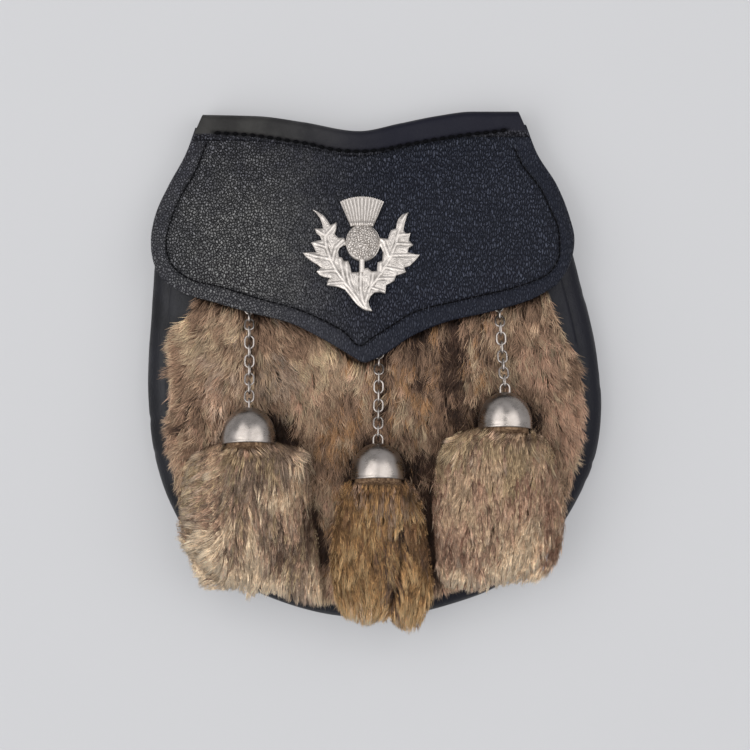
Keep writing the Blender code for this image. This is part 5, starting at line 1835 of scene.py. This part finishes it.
def grow_tassel(side, form, rng, look):
    """Hair over a tassel: it comes out from under the dome and falls and fans outwards."""
    seen = smoothstep(-0.35, 0.05, np.sin(full_turn(FORM_SIDES)))
    shown = np.outer(1 - 0.75 * smoothstep(0.86, 1.0, np.linspace(0, 1, FORM_ROWS)), seen)
    count = TASSEL_HAIRS[side]
    i, j = form.seeded(rng, count, shown)
    root = form.look_up(form.grid, i, j)
    out = unit(form.look_up(form.out, i, j), TINY)
    column = unit(form.look_up(form.down_way, i, j), TINY)
    across, down = root[:, 0], TOP_Y - root[:, 1]
    left, right = form.sides_at(down)
    offset = np.clip((across - (left + right) / 2) / (right - left) * 2, -1, 1)
    share = np.clip(form.share_at(down), 0, 1)
    fan = np.sign(offset) * np.abs(offset) ** 1.5 * (0.85 - 0.5 * share)
    if side == "left":
        swept = smoothstep(0.0, -0.7, offset) * (1 - 0.35 * smoothstep(0.5, 0.9, share))
        fan = np.where(offset < 0, -1.25 * swept, fan * 0.5) - 0.08
    if side == "middle":
        fan = fan * 0.4 - 0.10 * smoothstep(0.3, -0.5, offset)
    centres, tuft, shade = tufted(rng, np.stack([across, down], 1), TASSEL_TONES[side])
    tufts = len(centres)
    fan = fan + rng.normal(0, 0.08, count) + rng.normal(0, 0.13, tufts)[tuft]
    fan = fan + 0.2 * wander(across, down, 11, 43)
    lie = np.stack([np.sin(fan), -np.cos(fan), np.zeros(count)], 1)
    lie = unit(lie - (lie * out).sum(1)[:, None] * out, TINY)
    shoulder = smoothstep(0.16, 0.0, i / FORM_ROWS)[:, None]
    way = unit(lie * (1 - shoulder) + column * shoulder, TINY)
    length = rng.uniform(*TASSEL_LENGTHS[side], count) * (1 + 0.12 * rng.normal(0, 1, tufts)[tuft])
    length = length[:, None] * HAIR_STEPS
    sink = np.minimum(3.0, 0.3 + 0.25 * along(form.rows, down, 3)) * rng.uniform(0.4, 1, count)
    root = root - out * sink[:, None]
    lift = (sink + rng.exponential(0.45, count) + 0.4 * rng.normal(0, 1, tufts)[tuft])[:, None]
    rise = lift * (1 - (1 - HAIR_STEPS) ** 2)
    fall = length**2 / (2 * BEND_RADIUS)
    paths = root[:, None] + way[:, None] * length[..., None]
    paths = paths + out[:, None] * (rise - fall)[..., None]
    total = np.zeros((tufts, len(HAIR_STEPS), 3))
    np.add.at(total, tuft, paths)
    mean = total / np.bincount(tuft, minlength=tufts)[:, None, None]
    paths = pulled(paths, mean[tuft], TASSEL_PULL)
    if form.split:
        away = across - along(CREVICE, down, 1)
        near = np.exp(-((away / 1.8) ** 2)) * smoothstep(178, 190, down)
        paths[:, :, 0] += (np.sign(away) * near)[:, None] * 0.2 * HAIR_STEPS
    allowed = rng.exponential(0.8, tufts)[tuft] + rng.exponential(0.4, count) - 0.7
    paths = kept_within(paths, form.depth, allowed)
    width = HAIR_WIDE * rng.uniform(0.7, 1.3, count)
    up = out + rng.normal(0, 0.15, (count, 3))
    add_hair(f"tassel_{side}_hair", paths, up, width, shade, look,
             f"tassel_{side}")


def build_tassel_core(side, form, look):
    """The tassel's skin and under-wool, a little inside its outer form."""
    rings = form.rings[:, ::2]
    middle = rings.mean(1)[:, None]
    neck = (np.arange(len(rings)) <= form.neck)[:, None]
    inner = middle + (rings - middle) * np.where(neck, 1.0, CORE_WIDE)[..., None]
    lowest = rings[..., 2].min(1)[:, None]
    inner[..., 2] = np.where(neck, inner[..., 2], lowest + (rings[..., 2] - lowest) * CORE_TALL)
    inner[-1, :, 1] += 2.0
    count, sides = inner.shape[:2]
    faces = [grid_faces(count, sides, looped=True), *ring_ends(count, sides)]
    add_piece(f"tassel_{side}_core", (inner, [f[:, ::-1] for f in faces]), look,
              [f"tassel_{side}"], 70)


# ---------------------------------------------------------------- camera, light and floor


def build_stage():
    """A plain pale floor, a camera straight above, and soft light."""
    scene = bpy.context.scene
    scene.view_settings.view_transform = "Standard"
    scene.view_settings.look = "None"
    camera = bpy.data.cameras.new("camera")
    camera.sensor_width = SENSOR
    camera.lens = SENSOR * CAMERA_AWAY / (FRAME_PIXELS * PIXEL * MM)
    camera.clip_start, camera.clip_end = 0.01, 20.0
    scene.camera = linked("camera", camera)
    scene.camera.location = (0.0, (TOP_Y - (FRAME_PIXELS / 2 - TOP_PIXEL) * PIXEL) * MM,
                             CAMERA_AWAY + FOCUS_LEVEL)

    corners = [(x * FLOOR_HALF, y * FLOOR_HALF, -0.2)
               for x, y in ((-1, -1), (1, -1), (1, 1), (-1, 1))]
    mesh = new_mesh("floor", corners, [[0, 1, 2, 3]])
    looks = Looks("floor", 0.9, level=0.1)
    tone = looks.noise(looks.coordinates(), 260.0, 2.0)
    looks.into(looks.mixed(tone, (132, 132, 133), (134, 134, 135)), "Base Color")
    looks.into(linear((211, 211, 213)), "Emission Color")
    looks.into(0.38, "Emission Strength")
    mesh.materials.append(looks.material)
    floor = linked("floor", mesh)

    turn = full_turn(48)
    disc = np.stack([200 * np.cos(turn), 380 + 200 * np.sin(turn), np.full(48, 1320.0)], 1)
    mesh = new_mesh("dark_card", disc, [np.arange(48)])
    looks = Looks("dark_card", 0.9, level=0.0)
    looks.into((0.01, 0.01, 0.01, 1), "Base Color")
    mesh.materials.append(looks.material)
    card = linked("dark_card", mesh)

    for name, at, size, power in LIGHTS:
        lamp = bpy.data.lights.new(name, "AREA")
        lamp.size = size
        lamp.energy = power
        held = linked(name, lamp)
        held.location = at
        held.rotation_euler = (-Vector(at)).to_track_quat("-Z", "Y").to_euler()
    scene.world = bpy.data.worlds.new("studio")
    scene.world.use_nodes = True
    background = scene.world.node_tree.nodes["Background"]
    background.inputs["Color"].default_value = (0.93, 0.95, 1.0, 1)
    background.inputs["Strength"].default_value = 0.67


# ---------------------------------------------------------------- the whole


def dress(nodes, look):
    """Gives nodes of the model that stay in sight a finished material."""
    for name in nodes:
        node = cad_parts[name]
        node.data.materials.clear()
        node.data.materials.append(look)


def main():
    build_stage()
    grained = grained_look()
    smooth = smooth_look("strip_leather", (33, 32, 31), (47, 46, 44), (15, 15, 25), 0.52, 0.12)
    sides = smooth_look("gusset_leather", (9, 9, 13), (20, 20, 25), (6, 6, 16), 0.42, 0.2)
    plain = smooth_look("plain_leather", (30, 28, 27), (46, 43, 41), (26, 25, 26), 0.62)
    thread = thread_look()
    nickel = nickel_look()
    pewter = pewter_look()
    hair = hair_look()
    wool = underfur_look("front_underfur", (38, 28, 23), (96, 74, 58))
    tassel_wool = underfur_look("tassel_underfur", (84, 64, 48), (150, 124, 98))

    dress(["back_panel"], plain)
    dress(["press_stud", *[f"chain_staple_{side}" for side in PENDANTS]], nickel)
    build_gusset(sides)
    build_front_panel(sides)
    build_strip(smooth, thread)
    build_flap(grained, thread)
    build_badge(pewter)
    for side, pendant in PENDANTS.items():
        links = build_chain(side, pendant, nickel)
        build_dome(side, pendant, links, nickel)
    build_front_pelt(wool)
    rng = np.random.default_rng(7)
    grow_front("front_fur_hair_left", rng, -98, -4, hair)
    grow_front("front_fur_hair_right", rng, -4, 98, hair)
    for side in PENDANTS:
        form = TasselForm(side)
        build_tassel_core(side, form, tassel_wool)
        grow_tassel(side, form, rng, hair)


main()
